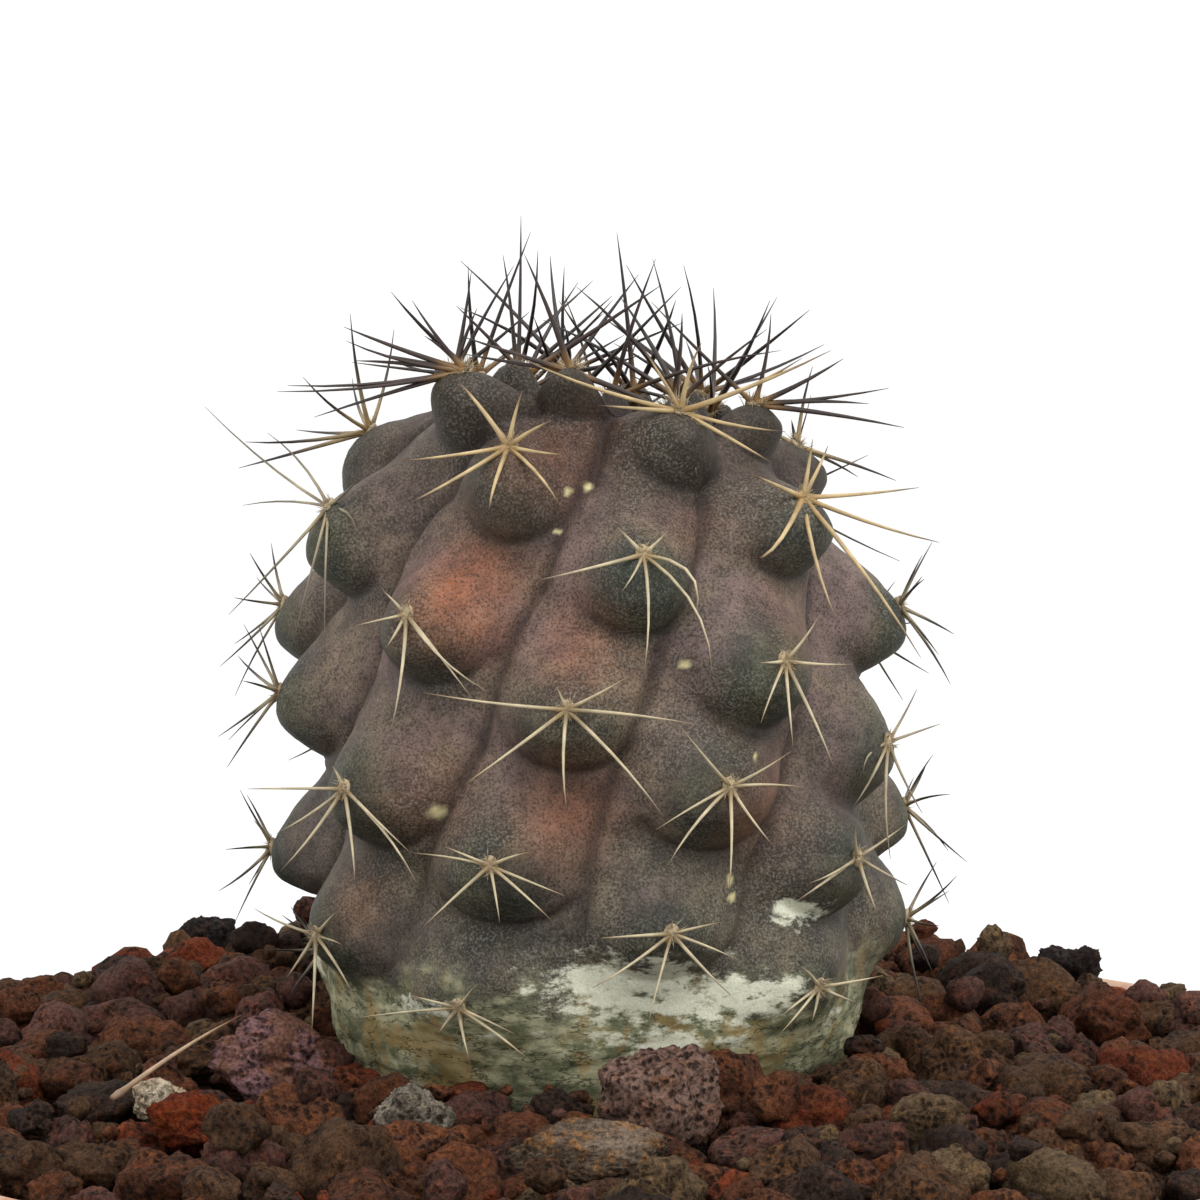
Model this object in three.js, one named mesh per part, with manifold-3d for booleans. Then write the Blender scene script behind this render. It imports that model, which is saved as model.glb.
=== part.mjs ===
// A young Copiapoa hybrid growing in lava gravel, in a round terracotta-coloured plastic pot, at real size.
// Units are millimetres and +Z is up. The origin is the centre of the pot's foot, where it stands.

import * as THREE from "three";
import { mergeVertices } from "three/addons/utils/BufferGeometryUtils.js";
import Module from "manifold-3d";

const wasm = await Module();
wasm.setup();

const DEGREE = Math.PI / 180;

// Pot: a thin moulded shell with a rolled lip, a thicker collar, a raised floor with drain holes and
// a foot ring.
const POT_HEIGHT = 67.6;
const POT_RIM_RADIUS = 42;
const POT_FOOT_RADIUS = 29;
const POT_WALL = 1.2;
const POT_COLLAR_HEIGHT = 9;
const POT_COLLAR_STEP = 1.4;
const POT_LIP_WIDTH = 2.0;
const POT_LIP_DEPTH = 1.6;
const POT_FLOOR_UNDERSIDE = 1.8;
const POT_FLOOR_THICKNESS = 1.4;
const POT_FOOT_RING_WIDTH = 3.5;
const POT_SIDES = 48;
const DRAIN_COUNT = 5;
const DRAIN_RADIUS = 2.6;
const DRAIN_CIRCLE_RADIUS = 14;
const DRAIN_SIDES = 12;
const FOOT_NOTCH_WIDTH = 5;
const FOOT_NOTCH_HEIGHT = 1.0;

// Clearance between pieces that rest against each other.
const GAP = 0.3;

// Gravel: its mean surface, the heaps and the hollow at the back, and the stones that cover it.
const FILL_LEVEL = 68;
const FILL_EDGE_DROP = 2.2;
const FILL_CENTRE_RISE = 0.6;
const FILL_EDGE_POWER = 6;
const HEAPS = [
  { x: -18, y: 22, rise: 2.5, spread: 9 },
  { x: 19, y: 23, rise: 1.5, spread: 9 },
  { x: -31, y: 14, rise: 0.9, spread: 10 },
  { x: 33, y: 19, rise: -0.7, spread: 7 },
];
const HEAP_EDGE_POWER = 12;
const BED_BELOW_MEAN = 0.8;
const BED_ROUGHNESS = 0.6;
const BED_SIDES = 30;
const STONE_SEED = 4127;
const STONE_MIN_SIZE = 5.0;
const STONE_MAX_SIZE = 6.9;
const STONE_TRIES = 6000;
const STONE_CROWDING = 0.83;
const STONE_LIFT = 0.05;
const HOLE_SIDES = 24;
const HOLE_CORNER_GAP = 0.45;

// Plant: where it stands, and the outline that its tubercle tips touch, as [radius, height above the gravel].
const PLANT_X = -0.6;
const PLANT_BASE_Z = FILL_LEVEL + 0.8;
const TIP_OUTLINE = [
  [13.6, 0],
  [15.0, 4],
  [16.2, 9.5],
  [16.0, 17],
  [15.3, 23.5],
  [13.9, 29],
  [11.3, 33.3],
  [8.3, 35.8],
  [5.2, 35.2],
  [2.5, 33.4],
  [0, 32.6],
];
// The crown leans a little: it falls towards the plant's right and its back, from the shoulder up.
const CROWN_FALL_RIGHT = 0.12;
const CROWN_FALL_BACK = 0.08;
const CROWN_FALL_FROM = 27;
const CROWN_FALL_FULL = 36;
// The buried neck and taproot below it, as [radius, height], from the gravel's surface down.
const ROOT_OUTLINE = [
  [13.0, -3],
  [11.6, -6.5],
  [7.6, -9],
  [5.4, -15],
  [3.6, -26],
  [1.6, -38],
];
const ROOT_TIP_LENGTH = 1;
const STEM_SIDES = 54;
const STEM_ROWS = 33;

// Tubercles follow one another up the stem by a fixed turn and a fixed rise, which sets them on nine
// slanting ribs.
const FIRST_TUBERCLE = -2;
const LAST_ON_SIDE = 36;
const LAST_TUBERCLE = 52;
const TURN_START = -33.7;
const TURN_EACH = -78.5;
const RISE_START = 4.37;
const RISE_EACH = 0.875;
const SIDE_SPACING = 9.4;
const TUBERCLE_SEED = 77;
const TURN_JITTER = 3;
const RISE_JITTER = 0.5;
const SIZE_JITTER = 0.07;
const HEIGHT_JITTER = 0.13;
// Where tubercles stray from that even spiral, by number: [turn in degrees, rise in mm, share taller].
const STRAYS = {
  "-1": [2, 2.6],
  0: [8, 1.5],
  3: [-2, 1.3],
  4: [1, 2.2],
  5: [6, 0],
  8: [-3, 1.4],
  9: [1.5, 1.1],
  10: [3, -1.1, 0.15],
  12: [-2, -1.1],
  13: [-2, 1.6],
  14: [4.5, 0.2],
  17: [-4, -0.9],
  18: [1.5, 1.0],
  19: [0, -0.5],
  22: [-4, -0.2],
  23: [2, 1.1],
  24: [16, -0.7, 0.35],
  26: [0, -2.2],
  27: [3, 0.7],
  28: [-2, 1.0],
  31: [-2, 0.1],
  32: [4.5, 1.0],
  35: [0, 0.5],
  36: [4, 0.6],
  37: [17, 0.6],
  40: [-2, -0.8],
  41: [3, 0],
  42: [0, 0, -0.3],
  44: [0, 0, -0.35],
  45: [6, 0, -0.35],
  46: [9, -0.6, -0.1],
  50: [10, 0],
};
// Each tubercle is a round knob on its rib. The knob's middle lies below the spines, and lowest on the crown's.
const GROOVE_DEPTH = 3.3;
const RELIEF_POWER = 0.12;
const RIB_HEIGHT = 0.8;
const RIB_REACH = 8;
const RIB_LENGTH = 11;
const RIB_SLANT = 0.42;
const HILL_HEIGHT = 2.9;
const HILL_POWER = 2.4;
const LOW_HILL_DROP = 0.7;
const HIGH_HILL_DROP = 1.8;
const DROP_FROM = 21;
const DROP_FULL = 31;
const HILL_BLEND = 0.22;
const CHIN_DROOP = 0.8;
// A hill slopes gently above its middle and steeply below it.
const HILL_REACH_UP = 3.5;
const HILL_REACH_DOWN = 3;
// Old tubercles low on the stem are broad, and the young ones are narrow knobs.
const HILL_REACH_ROUND = 4.7;
const HILL_NARROWING = 0.3;
const COLLAR_TOP = 12;
const COLLAR_RELIEF = 0.12;

// Spines spread from each tubercle's tip like a star: flat and short on the side, long and erect on
// the crown.
const SPINE_SEED = 913;
const SPINES_EACH = 7;
const SPINE_RADIUS = 0.26;
const SPINE_ROOT_DEPTH = 1.1;
const SIDE_SPINE_LENGTH = 5.4;
const CROWN_SPINE_LENGTH = 7.8;
const SIDE_SPINE_LIFT = 27;
const CROWN_SPINE_LIFT = 33;
const APEX_SPINE_LIFT = 60;
const CROWN_START = 26;
const CROWN_FULL = 36;
const APEX_START = 40.5;
const APEX_FULL = 42.5;
const APEX_SPINES_EACH = 4;
const FIRST_OF_APEX = 45;
const UPPER_SPINE_SHARE = 0.62;
const SPINE_TURN_JITTER = 9;
const SPINE_LENGTH_JITTER = 0.2;
const SPINE_LIFT_JITTER = 9;
const SPINE_CLEARANCE = 2.4;
const SHORTEST_SPINE = 1.2;
const MOST_DEPTH_SHARE = 0.5;
const FIRST_OF_CROWN = 35;
const CROWN_DEPTH_SHARE = 0.35;
// The stars that face front, spine by spine, by tubercle number: how far each tip lies [to the right, up].
const FRONT_SPINES = {
  "-1": [[3.3, 0.4], [2.0, -1.0], [-0.4, -1.6], [-2.1, -1.8], [-2.0, -1.0], [-1.0, 1.4]],
  0: [[-2.4, 0.7], [-5.1, -0.5], [-1.0, -1.3], [0.9, -3.9], [3.4, -1.9], [2.8, -0.8], [1.0, 1.6]],
  4: [[-3.5, 0.2], [-3.9, -2.2], [-1.2, -4.2], [2.9, -2.9], [3.3, -1.2], [2.5, 0.7]],
  5: [[-3.3, 1.0], [1.4, -0.2], [2.0, -2.3], [-0.1, -4.6], [-1.6, -2.4], [1.2, 1.6]],
  8: [[2.5, 1.5], [-2.6, -0.8], [-3.2, -1.5], [-0.2, 2.0], [1.0, -2.8], [2.6, -1.6]],
  9: [[-2.2, 1.0], [-3.7, 0.7], [-3.3, -2.9], [0.5, -2.6], [3.0, -2.2], [3.7, -1.0], [1.9, 0.9]],
  13: [[-2.6, 3.5], [3.0, 1.8], [3.6, 0], [2.1, -2.8], [-0.1, -4.7], [-3.1, -3.3], [-3.7, -1.6]],
  14: [[-5.0, -0.3], [-3.5, -2.4], [-3.2, -4.1], [0.7, -4.0], [3.4, -2.4], [3.8, -3.7], [-0.6, 1.2]],
  17: [[1.5, 2.7], [2.9, 0.5], [1.7, -3.5], [-1.4, -1.3], [-2.0, -2.8], [-0.2, -5.1]],
  18: [[-6.8, 1.1], [-0.5, 1.2], [3.1, 1.9], [6.4, -0.3], [4.7, -4.7], [0, -4.5], [-4.9, -3.3]],
  22: [[1.7, 2.3], [-1.3, 0.1], [-1.3, -2.7], [0.3, -3.9], [2.3, -4.9], [3.4, -0.2]],
  23: [[-1.0, -1.6], [-0.6, -5.2], [3.3, -3.4], [4.1, -3.1], [-1.2, 1.2], [-2.6, -0.6]],
  27: [[-1.3, 1.4], [-5.0, -0.9], [-1.1, -1.7], [0, -5.3], [3.3, -5.4], [2.5, -3.0], [1.2, 1.2]],
  28: [[-7.1, 4.5], [-4.8, -0.4], [-4.9, -5.2], [0.2, -6.7], [-1.4, -6.2], [1.6, -1.5], [1.7, 1.6],
    [-3.5, 3.4]],
  31: [[0.5, 2.9], [1.3, 2.5], [-2.6, 1.4], [-2.6, -2.7], [1.5, -5.8], [5.5, -7.3], [6.0, 0.3], [6.9, -2.3]],
  32: [[-2.6, 3.3], [0.7, 2.8], [2.2, 1.4], [2.9, -0.2], [2.6, -2.6], [-0.9, -2.9], [-4.9, -2.6],
    [-5.3, -0.6]],
  35: [[5.2, -1.8], [3.2, -1.6], [0.8, 4.2], [-0.3, 1.4], [-2.5, 1.2]],
  36: [[-8.3, 3.0], [-4.1, 0.4], [0.8, -3.2], [4.6, -2.5], [5.2, -0.9], [6.0, 2.8], [-1.9, 3.2], [1.0, 3.5],
    [7.4, 3.2]],
  37: [[-9.3, -0.9], [-8.8, -0.6], [-7.5, -2.2], [-6.0, 2.3], [-5.9, 1.6], [-5.5, 0.6], [-4.1, 0.9],
    [-2.6, 3.6], [-2.0, 1.8], [2.4, -3.6]],
  40: [[-5.3, 5.3], [0.8, 4.7], [4.5, 2.4], [6.8, 0.9], [5.8, 0.1], [7.6, -1.1]],
  41: [[-5.5, 1.9], [-5.4, 1.0], [5.3, -2.1], [-2.3, 6.0]],
  42: [[3.1, 5.6], [3.9, 3.2], [1.2, 3.4], [0.9, 5.3]],
  45: [[0.5, 4.9], [1.3, 2.3], [4.8, 4.1]],
  46: [[6.9, 4.7], [-3.5, 3.6]],
  50: [[2.2, 7.2], [8.5, 2.6]],
};

// Larger loose stones on the gravel: place on the pot's plan, size along x, y and z, how high the middle
// rests as a share of the size along z, turn about z and colour.
const LOOSE_STONES = [
  { name: "stone_pumice_front", x: 2.5, y: -21.2, colour: "#6a5247",
    size: [6.2, 5.2, 5.6], rest: 0.34, turn: 10 },
  { name: "stone_flat_front", x: -1.2, y: -26.6, colour: "#6b5446",
    size: [8.2, 4.6, 3.3], turn: -6 },
  { name: "stone_mauve_left", x: -17.4, y: -9.0, colour: "#664a45",
    size: [7.0, 5.6, 5.4], turn: 35 },
  { name: "stone_grey_left", x: -22.0, y: -14.4, colour: "#85715f",
    size: [3.5, 3.0, 2.7], turn: 20 },
  { name: "stone_red_left", x: -20.5, y: -20.1, colour: "#6e3018",
    size: [4.2, 3.8, 3.2], turn: -20 },
  { name: "stone_grey_base", x: -9.5, y: -18.3, colour: "#6a655c",
    size: [4.0, 3.4, 3.2], turn: -12 },
  { name: "stone_dark_back_left", x: -23.0, y: 24.0, colour: "#33261f",
    size: [4.0, 3.6, 3.4], rest: 0.3, turn: 15 },
  { name: "stone_dark_back_right", x: 26.6, y: 24.5, colour: "#33261f",
    size: [4.0, 3.4, 3.6], rest: 0.34, turn: 50 },
  { name: "stone_pale_back", x: 4.0, y: 27.5, colour: "#8a7562",
    size: [5.0, 4.4, 3.6], turn: 65 },
  { name: "stone_red_right", x: 26.5, y: 6.0, colour: "#5c2f20",
    size: [5.8, 4.8, 4.0], turn: -35 },
];
const LOOSE_STONE_REST = 0.22;
const LOOSE_STONE_SEAT = 2.2 * GAP;
const LOOSE_STONE_ROOM = 0.44;

// A spine that dropped off and lies across the gravel at the left.
const FALLEN_SPINE = { from: [-24.0, -17.6], to: [-18.6, -9.6], rises: [2.0, 4.0], radius: 0.25, sides: 5 };

// A repeatable series of numbers from 0 to 1.
function makeRandom(seed) {
  let state = seed;
  return () => {
    state = (state * 16807) % 2147483647;
    return state / 2147483647;
  };
}

// Joining and cutting closed meshes

function toSolid(geometry) {
  const bare = geometry.index ? geometry.toNonIndexed() : geometry.clone();
  bare.deleteAttribute("normal");
  bare.deleteAttribute("uv");
  const merged = mergeVertices(bare, 1e-4);
  return new wasm.Manifold(
    new wasm.Mesh({
      numProp: 3,
      vertProperties: merged.attributes.position.array,
      triVerts: new Uint32Array(merged.index.array),
    }),
  );
}

function toGeometry(solid) {
  const mesh = solid.getMesh();
  const geometry = new THREE.BufferGeometry();
  geometry.setAttribute("position", new THREE.BufferAttribute(mesh.vertProperties, 3));
  geometry.setIndex(new THREE.BufferAttribute(mesh.triVerts, 1));
  return geometry;
}

// A solid of revolution about +Z, from a profile of [radius, height] points that starts and ends on the axis.
function turned(profile, sides) {
  const points = profile.map(([radius, height]) => new THREE.Vector2(radius, height));
  return new THREE.LatheGeometry(points, sides).rotateX(Math.PI / 2);
}

// A cut can leave loose scraps, so only the piece itself is kept.
function largestBody(solid) {
  return solid.decompose().sort((a, b) => b.volume() - a.volume())[0];
}

// Pot

const FLOOR_TOP = POT_FLOOR_UNDERSIDE + POT_FLOOR_THICKNESS;
const COLLAR_BOTTOM = POT_HEIGHT - POT_COLLAR_HEIGHT;
const LIP_INNER_RADIUS = POT_RIM_RADIUS - POT_LIP_WIDTH;
const POT_TAPER = (POT_RIM_RADIUS - POT_COLLAR_STEP - POT_FOOT_RADIUS) / COLLAR_BOTTOM;

// The pot's inner radius at a height below the collar.
function innerRadius(z) {
  return POT_FOOT_RADIUS + POT_TAPER * z - POT_WALL;
}

function potSolid() {
  const footInner = POT_FOOT_RADIUS - POT_FOOT_RING_WIDTH;
  const lipMiddle = POT_HEIGHT - POT_LIP_DEPTH / 2;
  const lipRound = POT_LIP_WIDTH / 5;
  const collarEdge = POT_RIM_RADIUS - POT_COLLAR_STEP / 3;
  const profile = [
    [0, POT_FLOOR_UNDERSIDE],
    [footInner, POT_FLOOR_UNDERSIDE],
    [footInner, 0],
    [POT_FOOT_RADIUS, 0],
    [POT_RIM_RADIUS - POT_COLLAR_STEP, COLLAR_BOTTOM],
    [collarEdge, COLLAR_BOTTOM],
    [POT_RIM_RADIUS, lipMiddle],
    [POT_RIM_RADIUS - lipRound, POT_HEIGHT],
    [LIP_INNER_RADIUS + lipRound, POT_HEIGHT],
    [LIP_INNER_RADIUS, lipMiddle],
    [innerRadius(COLLAR_BOTTOM), COLLAR_BOTTOM],
    [innerRadius(FLOOR_TOP), FLOOR_TOP],
    [0, FLOOR_TOP],
  ];
  let pot = toSolid(turned(profile, POT_SIDES));
  for (let i = 0; i < DRAIN_COUNT; i++) {
    const angle = (i / DRAIN_COUNT) * 2 * Math.PI;
    const drill = new THREE.CylinderGeometry(DRAIN_RADIUS, DRAIN_RADIUS, 3 * FLOOR_TOP, DRAIN_SIDES)
      .rotateX(Math.PI / 2)
      .translate(DRAIN_CIRCLE_RADIUS * Math.sin(angle), DRAIN_CIRCLE_RADIUS * Math.cos(angle), 0);
    pot = pot.subtract(toSolid(drill));
  }
  for (const turn of [45, 135]) {
    const notch = new THREE.BoxGeometry(3 * POT_FOOT_RADIUS, FOOT_NOTCH_WIDTH, 2 * FOOT_NOTCH_HEIGHT);
    pot = pot.subtract(toSolid(notch.rotateZ(turn * DEGREE)));
  }
  return pot;
}

// Plant outline, tubercles and stem

const OUTLINE = new THREE.SplineCurve(
  TIP_OUTLINE.map(([radius, height]) => new THREE.Vector2(radius, height)),
).getPoints(540);
const OUTLINE_LENGTHS = OUTLINE.reduce((lengths, point, i) => {
  lengths.push(i === 0 ? 0 : lengths[i - 1] + point.distanceTo(OUTLINE[i - 1]));
  return lengths;
}, []);
const OUTLINE_LENGTH = OUTLINE_LENGTHS[OUTLINE_LENGTHS.length - 1];

// The outline's point and its outward and upward directions, a length s along it from the gravel.
function outlineAt(s) {
  const kept = Math.min(Math.max(s, 0), OUTLINE_LENGTH - 1e-6);
  let i = 1;
  while (OUTLINE_LENGTHS[i] < kept) i++;
  const share = (kept - OUTLINE_LENGTHS[i - 1]) / (OUTLINE_LENGTHS[i] - OUTLINE_LENGTHS[i - 1]);
  const point = OUTLINE[i - 1].clone().lerp(OUTLINE[i], share);
  const up = OUTLINE[i].clone().sub(OUTLINE[i - 1]).normalize();
  return { point, up, out: new THREE.Vector2(up.y, -up.x) };
}

function smoothStep(from, to, value) {
  const share = Math.min(Math.max((value - from) / (to - from), 0), 1);
  return share * share * (3 - 2 * share);
}

// Past the shoulder the tubercles crowd towards the apex.
const SHOULDER = RISE_START + LAST_ON_SIDE * RISE_EACH;
const CROWN_LENGTH = OUTLINE_LENGTH - SHOULDER;

function riseOf(n) {
  if (n <= LAST_ON_SIDE) return RISE_START + n * RISE_EACH;
  return OUTLINE_LENGTH - CROWN_LENGTH * Math.exp(((LAST_ON_SIDE - n) * RISE_EACH) / CROWN_LENGTH);
}

// A tubercle's size against one on the side, from the room that each has there.
function sizeAt(s) {
  const left = Math.max(OUTLINE_LENGTH - s, 0.6);
  const step = s < SHOULDER ? RISE_EACH : (RISE_EACH * left) / CROWN_LENGTH;
  const radius = Math.max(outlineAt(s).point.x, 0.8);
  return Math.min(1, Math.sqrt(2 * Math.PI * radius * step) / SIDE_SPACING);
}

// How much of the side's relief there is at a rise: less on the crown, next to none at the corky collar.
function reliefAt(s) {
  return Math.pow(sizeAt(s), RELIEF_POWER);
}

function collarShare(s) {
  return COLLAR_RELIEF + (1 - COLLAR_RELIEF) * smoothStep(0, COLLAR_TOP, s);
}

function makeTubercles() {
  const random = makeRandom(TUBERCLE_SEED);
  const spread = () => 2 * random() - 1;
  const made = [];
  for (let n = FIRST_TUBERCLE; n <= LAST_TUBERCLE; n++) {
    const [turnDraw, riseDraw, sizeDraw, heightDraw] = [spread(), spread(), spread(), spread()];
    const jitter = [turnDraw * TURN_JITTER, riseDraw * RISE_JITTER * sizeAt(riseOf(n))];
    const [turn, rise, taller = heightDraw * HEIGHT_JITTER] = STRAYS[n] ?? jitter;
    const s = riseOf(n) + rise;
    made.push({
      n,
      s,
      turn: (TURN_START + n * TURN_EACH + turn) * DEGREE,
      size: sizeAt(s) * (1 + sizeDraw * SIZE_JITTER),
      height: reliefAt(s) * (1 + taller),
    });
  }
  return made;
}

const TUBERCLES = makeTubercles();

function wrapped(angle) {
  return Math.atan2(Math.sin(angle), Math.cos(angle));
}

// How far a point is from the middle of a tubercle's hill, as a share of the hill's reach that way.
function hillDistance({ s, size }, around, up) {
  const drop = LOW_HILL_DROP + (HIGH_HILL_DROP - LOW_HILL_DROP) * smoothStep(DROP_FROM, DROP_FULL, s);
  const low = up / size + drop;
  const reach = low > 0 ? HILL_REACH_UP : HILL_REACH_DOWN;
  const reachRound = HILL_REACH_ROUND * (1 - (HILL_NARROWING * s) / OUTLINE_LENGTH);
  return Math.hypot(around / (reachRound * size), low / reach);
}

// The heights of the rib and of the hill on it above the grooves, at a turn and a rise.
function relief(turn, s, radius) {
  const blend = HILL_BLEND * sizeAt(s);
  let rib = 0;
  let total = 0;
  for (const tubercle of TUBERCLES) {
    const { size, height } = tubercle;
    const up = s - tubercle.s;
    const around = wrapped(turn - tubercle.turn) * radius;
    const across = (around - RIB_SLANT * up) / (RIB_REACH * size);
    const along = up / (RIB_LENGTH * size);
    const here = RIB_HEIGHT * height * (1 - across ** 2) * (1 - along ** 2);
    if (Math.abs(along) < 1) rib = Math.max(rib, here);
    const away = hillDistance(tubercle, around, up);
    const hill = HILL_HEIGHT * height * Math.exp(-(away ** HILL_POWER));
    total += Math.expm1(hill / blend);
  }
  return { rib, hill: blend * Math.log1p(total) };
}

// How far the leaning crown falls at a turn, a rise and a radius.
function crownFall(turn, s, radius) {
  const fall = CROWN_FALL_RIGHT * Math.sin(turn) - CROWN_FALL_BACK * Math.cos(turn);
  return radius * fall * smoothStep(CROWN_FALL_FROM, CROWN_FALL_FULL, s);
}

// Turn 0 faces -Y, the plant's front, and turns grow towards +X.
function placed(turn, radius, height) {
  return new THREE.Vector3(
    PLANT_X + radius * Math.sin(turn),
    -radius * Math.cos(turn),
    PLANT_BASE_Z + height,
  );
}

// A point of the stem's skin at a turn and a rise.
function skinPoint(turn, s) {
  const { point, up, out } = outlineAt(s);
  const { rib, hill } = relief(turn, s, Math.max(point.x, 0.5));
  const across = collarShare(s) * (rib + hill - GROOVE_DEPTH * reliefAt(s));
  const droop = CHIN_DROOP * collarShare(s) * (hill / HILL_HEIGHT) ** 1.5;
  const radius = Math.max(point.x + out.x * across - up.x * droop, 0.05);
  const height = point.y + out.y * across - up.y * droop;
  return placed(turn, radius, height - crownFall(turn, s, radius));
}

// The stem and its taproot: rings of points from the root's tip up to the apex.
function stemGeometry() {
  const rings = ROOT_OUTLINE.map(([radius, height]) => (turn) => placed(turn, radius, height)).reverse();
  for (let i = 0; i < STEM_ROWS; i++) {
    const s = (i / STEM_ROWS) * OUTLINE_LENGTH;
    rings.push((turn) => skinPoint(turn, s));
  }
  const rootEnd = ROOT_OUTLINE[ROOT_OUTLINE.length - 1][1] - ROOT_TIP_LENGTH;
  const apex = TIP_OUTLINE[TIP_OUTLINE.length - 1][1] - GROOVE_DEPTH * reliefAt(OUTLINE_LENGTH);
  const vertices = [placed(0, 0, rootEnd)];
  rings.forEach((ring, row) => {
    for (let i = 0; i < STEM_SIDES; i++) {
      vertices.push(ring(((i + (row % 2) / 2) / STEM_SIDES) * 2 * Math.PI));
    }
  });
  vertices.push(placed(0, 0, apex));
  const faces = [];
  const at = (row, i) => 1 + row * STEM_SIDES + (i % STEM_SIDES);
  const last = rings.length - 1;
  for (let i = 0; i < STEM_SIDES; i++) {
    faces.push(0, at(0, i + 1), at(0, i));
    faces.push(vertices.length - 1, at(last, i), at(last, i + 1));
    for (let row = 0; row < last; row++) {
      // Every other ring is turned by half a side, and the diagonals follow it.
      const [a, b, c, d] = [at(row, i), at(row, i + 1), at(row + 1, i + 1), at(row + 1, i)];
      if (row % 2) faces.push(a, b, c, a, c, d);
      else faces.push(a, b, d, b, c, d);
    }
  }
  const geometry = new THREE.BufferGeometry().setFromPoints(vertices);
  geometry.setIndex(faces);
  return geometry;
}

// Spines

// The directions up along the skin, out of it and round the stem at a tubercle.
function frameAt({ turn, s }) {
  const { up, out } = outlineAt(s);
  const [sin, cos] = [Math.sin(turn), Math.cos(turn)];
  return {
    upward: new THREE.Vector3(up.x * sin, -up.x * cos, up.y),
    outward: new THREE.Vector3(out.x * sin, -out.x * cos, out.y),
    sideways: new THREE.Vector3(cos, sin, 0),
  };
}

function starCount({ n }) {
  return n < FIRST_OF_APEX ? SPINES_EACH : APEX_SPINES_EACH;
}

// One of a star's spines, from where it points on the skin, how long it is and how far it stands up.
function starSpine(tubercle, k, draws) {
  const { upward, outward, sideways } = frameAt(tubercle);
  const crown = Math.min(Math.max((tubercle.s - CROWN_START) / (CROWN_FULL - CROWN_START), 0), 1);
  const clock = (180 + (k * 360) / starCount(tubercle) + draws[0] * SPINE_TURN_JITTER) * DEGREE;
  const apex = smoothStep(APEX_START, APEX_FULL, tubercle.s);
  const upper = (0.5 + 0.5 * Math.cos(clock)) * (1 - crown);
  const length = SIDE_SPINE_LENGTH + (CROWN_SPINE_LENGTH - SIDE_SPINE_LENGTH) * crown;
  const evenLift = SIDE_SPINE_LIFT + (CROWN_SPINE_LIFT - SIDE_SPINE_LIFT) * crown;
  const lift = evenLift + (APEX_SPINE_LIFT - CROWN_SPINE_LIFT) * apex + draws[2] * SPINE_LIFT_JITTER;
  const along = upward
    .multiplyScalar(Math.cos(clock))
    .addScaledVector(sideways, Math.sin(clock))
    .multiplyScalar(Math.cos(lift * DEGREE))
    .addScaledVector(outward, Math.sin(lift * DEGREE));
  const reach = length * (1 - (1 - UPPER_SPINE_SHARE) * upper) * (1 + draws[1] * SPINE_LENGTH_JITTER);
  return along.multiplyScalar(reach);
}

// A front spine from where its tip is seen: on the crown it comes a little forward, and elsewhere it
// leans towards or away from the front to clear the skin.
function frontSpine(tubercle, [right, up]) {
  const { outward } = frameAt(tubercle);
  const length = Math.hypot(right, up);
  if (tubercle.n >= FIRST_OF_CROWN) {
    return new THREE.Vector3(right, -CROWN_DEPTH_SHARE * length * Math.cos(tubercle.turn), up);
  }
  const lifted = Math.sin(SIDE_SPINE_LIFT * DEGREE) * length;
  const lean = (lifted - right * outward.x - up * outward.z) / outward.y;
  const most = MOST_DEPTH_SHARE * length;
  return new THREE.Vector3(right, Math.min(Math.max(lean, -most), most), up);
}

function spinesOf(tubercle, random) {
  const spread = () => 2 * random() - 1;
  const made = [];
  for (let k = 0; k < SPINES_EACH; k++) made.push(starSpine(tubercle, k, [spread(), spread(), spread()]));
  const seen = FRONT_SPINES[tubercle.n];
  return seen ? seen.map((tip) => frontSpine(tubercle, tip)) : made.slice(0, starCount(tubercle));
}

// The mean height of the gravel at a place on the pot's plan.
function gravelHeight(x, y) {
  const share = Math.min(Math.hypot(x, y) / LIP_INNER_RADIUS, 1);
  const fall = FILL_CENTRE_RISE - (FILL_CENTRE_RISE + FILL_EDGE_DROP) * share ** FILL_EDGE_POWER;
  const heaped = HEAPS.reduce((sum, heap) => {
    const away = ((x - heap.x) ** 2 + (y - heap.y) ** 2) / heap.spread ** 2;
    return sum + heap.rise * Math.exp(-away) * (1 - share ** HEAP_EDGE_POWER);
  }, 0);
  return FILL_LEVEL + fall + heaped;
}

// A spine near the gravel ends where it would reach in among the stones.
function clearReach(start, spine) {
  const steps = 12;
  for (let i = 1; i <= steps; i++) {
    const at = start.clone().addScaledVector(spine, i / steps);
    if (at.z < gravelHeight(at.x, at.y) + SPINE_CLEARANCE) return (i - 1) / steps;
  }
  return 1;
}

// A three-sided needle with its foot sunk into the tubercle.
function needleGeometry(start, spine, outward) {
  const along = spine.clone().normalize();
  const foot = start
    .clone()
    .addScaledVector(outward, -SPINE_ROOT_DEPTH)
    .addScaledVector(along, -SPINE_ROOT_DEPTH);
  const side = new THREE.Vector3().crossVectors(along, outward).normalize();
  const other = new THREE.Vector3().crossVectors(along, side);
  const points = [start.clone().add(spine)];
  for (let i = 0; i < 3; i++) {
    const angle = (i / 3) * 2 * Math.PI;
    const corner = foot.clone().addScaledVector(side, SPINE_RADIUS * Math.cos(angle));
    points.push(corner.addScaledVector(other, SPINE_RADIUS * Math.sin(angle)));
  }
  const geometry = new THREE.BufferGeometry().setFromPoints(points);
  geometry.setIndex([0, 1, 2, 0, 2, 3, 0, 3, 1, 1, 3, 2]);
  return geometry;
}

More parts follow.
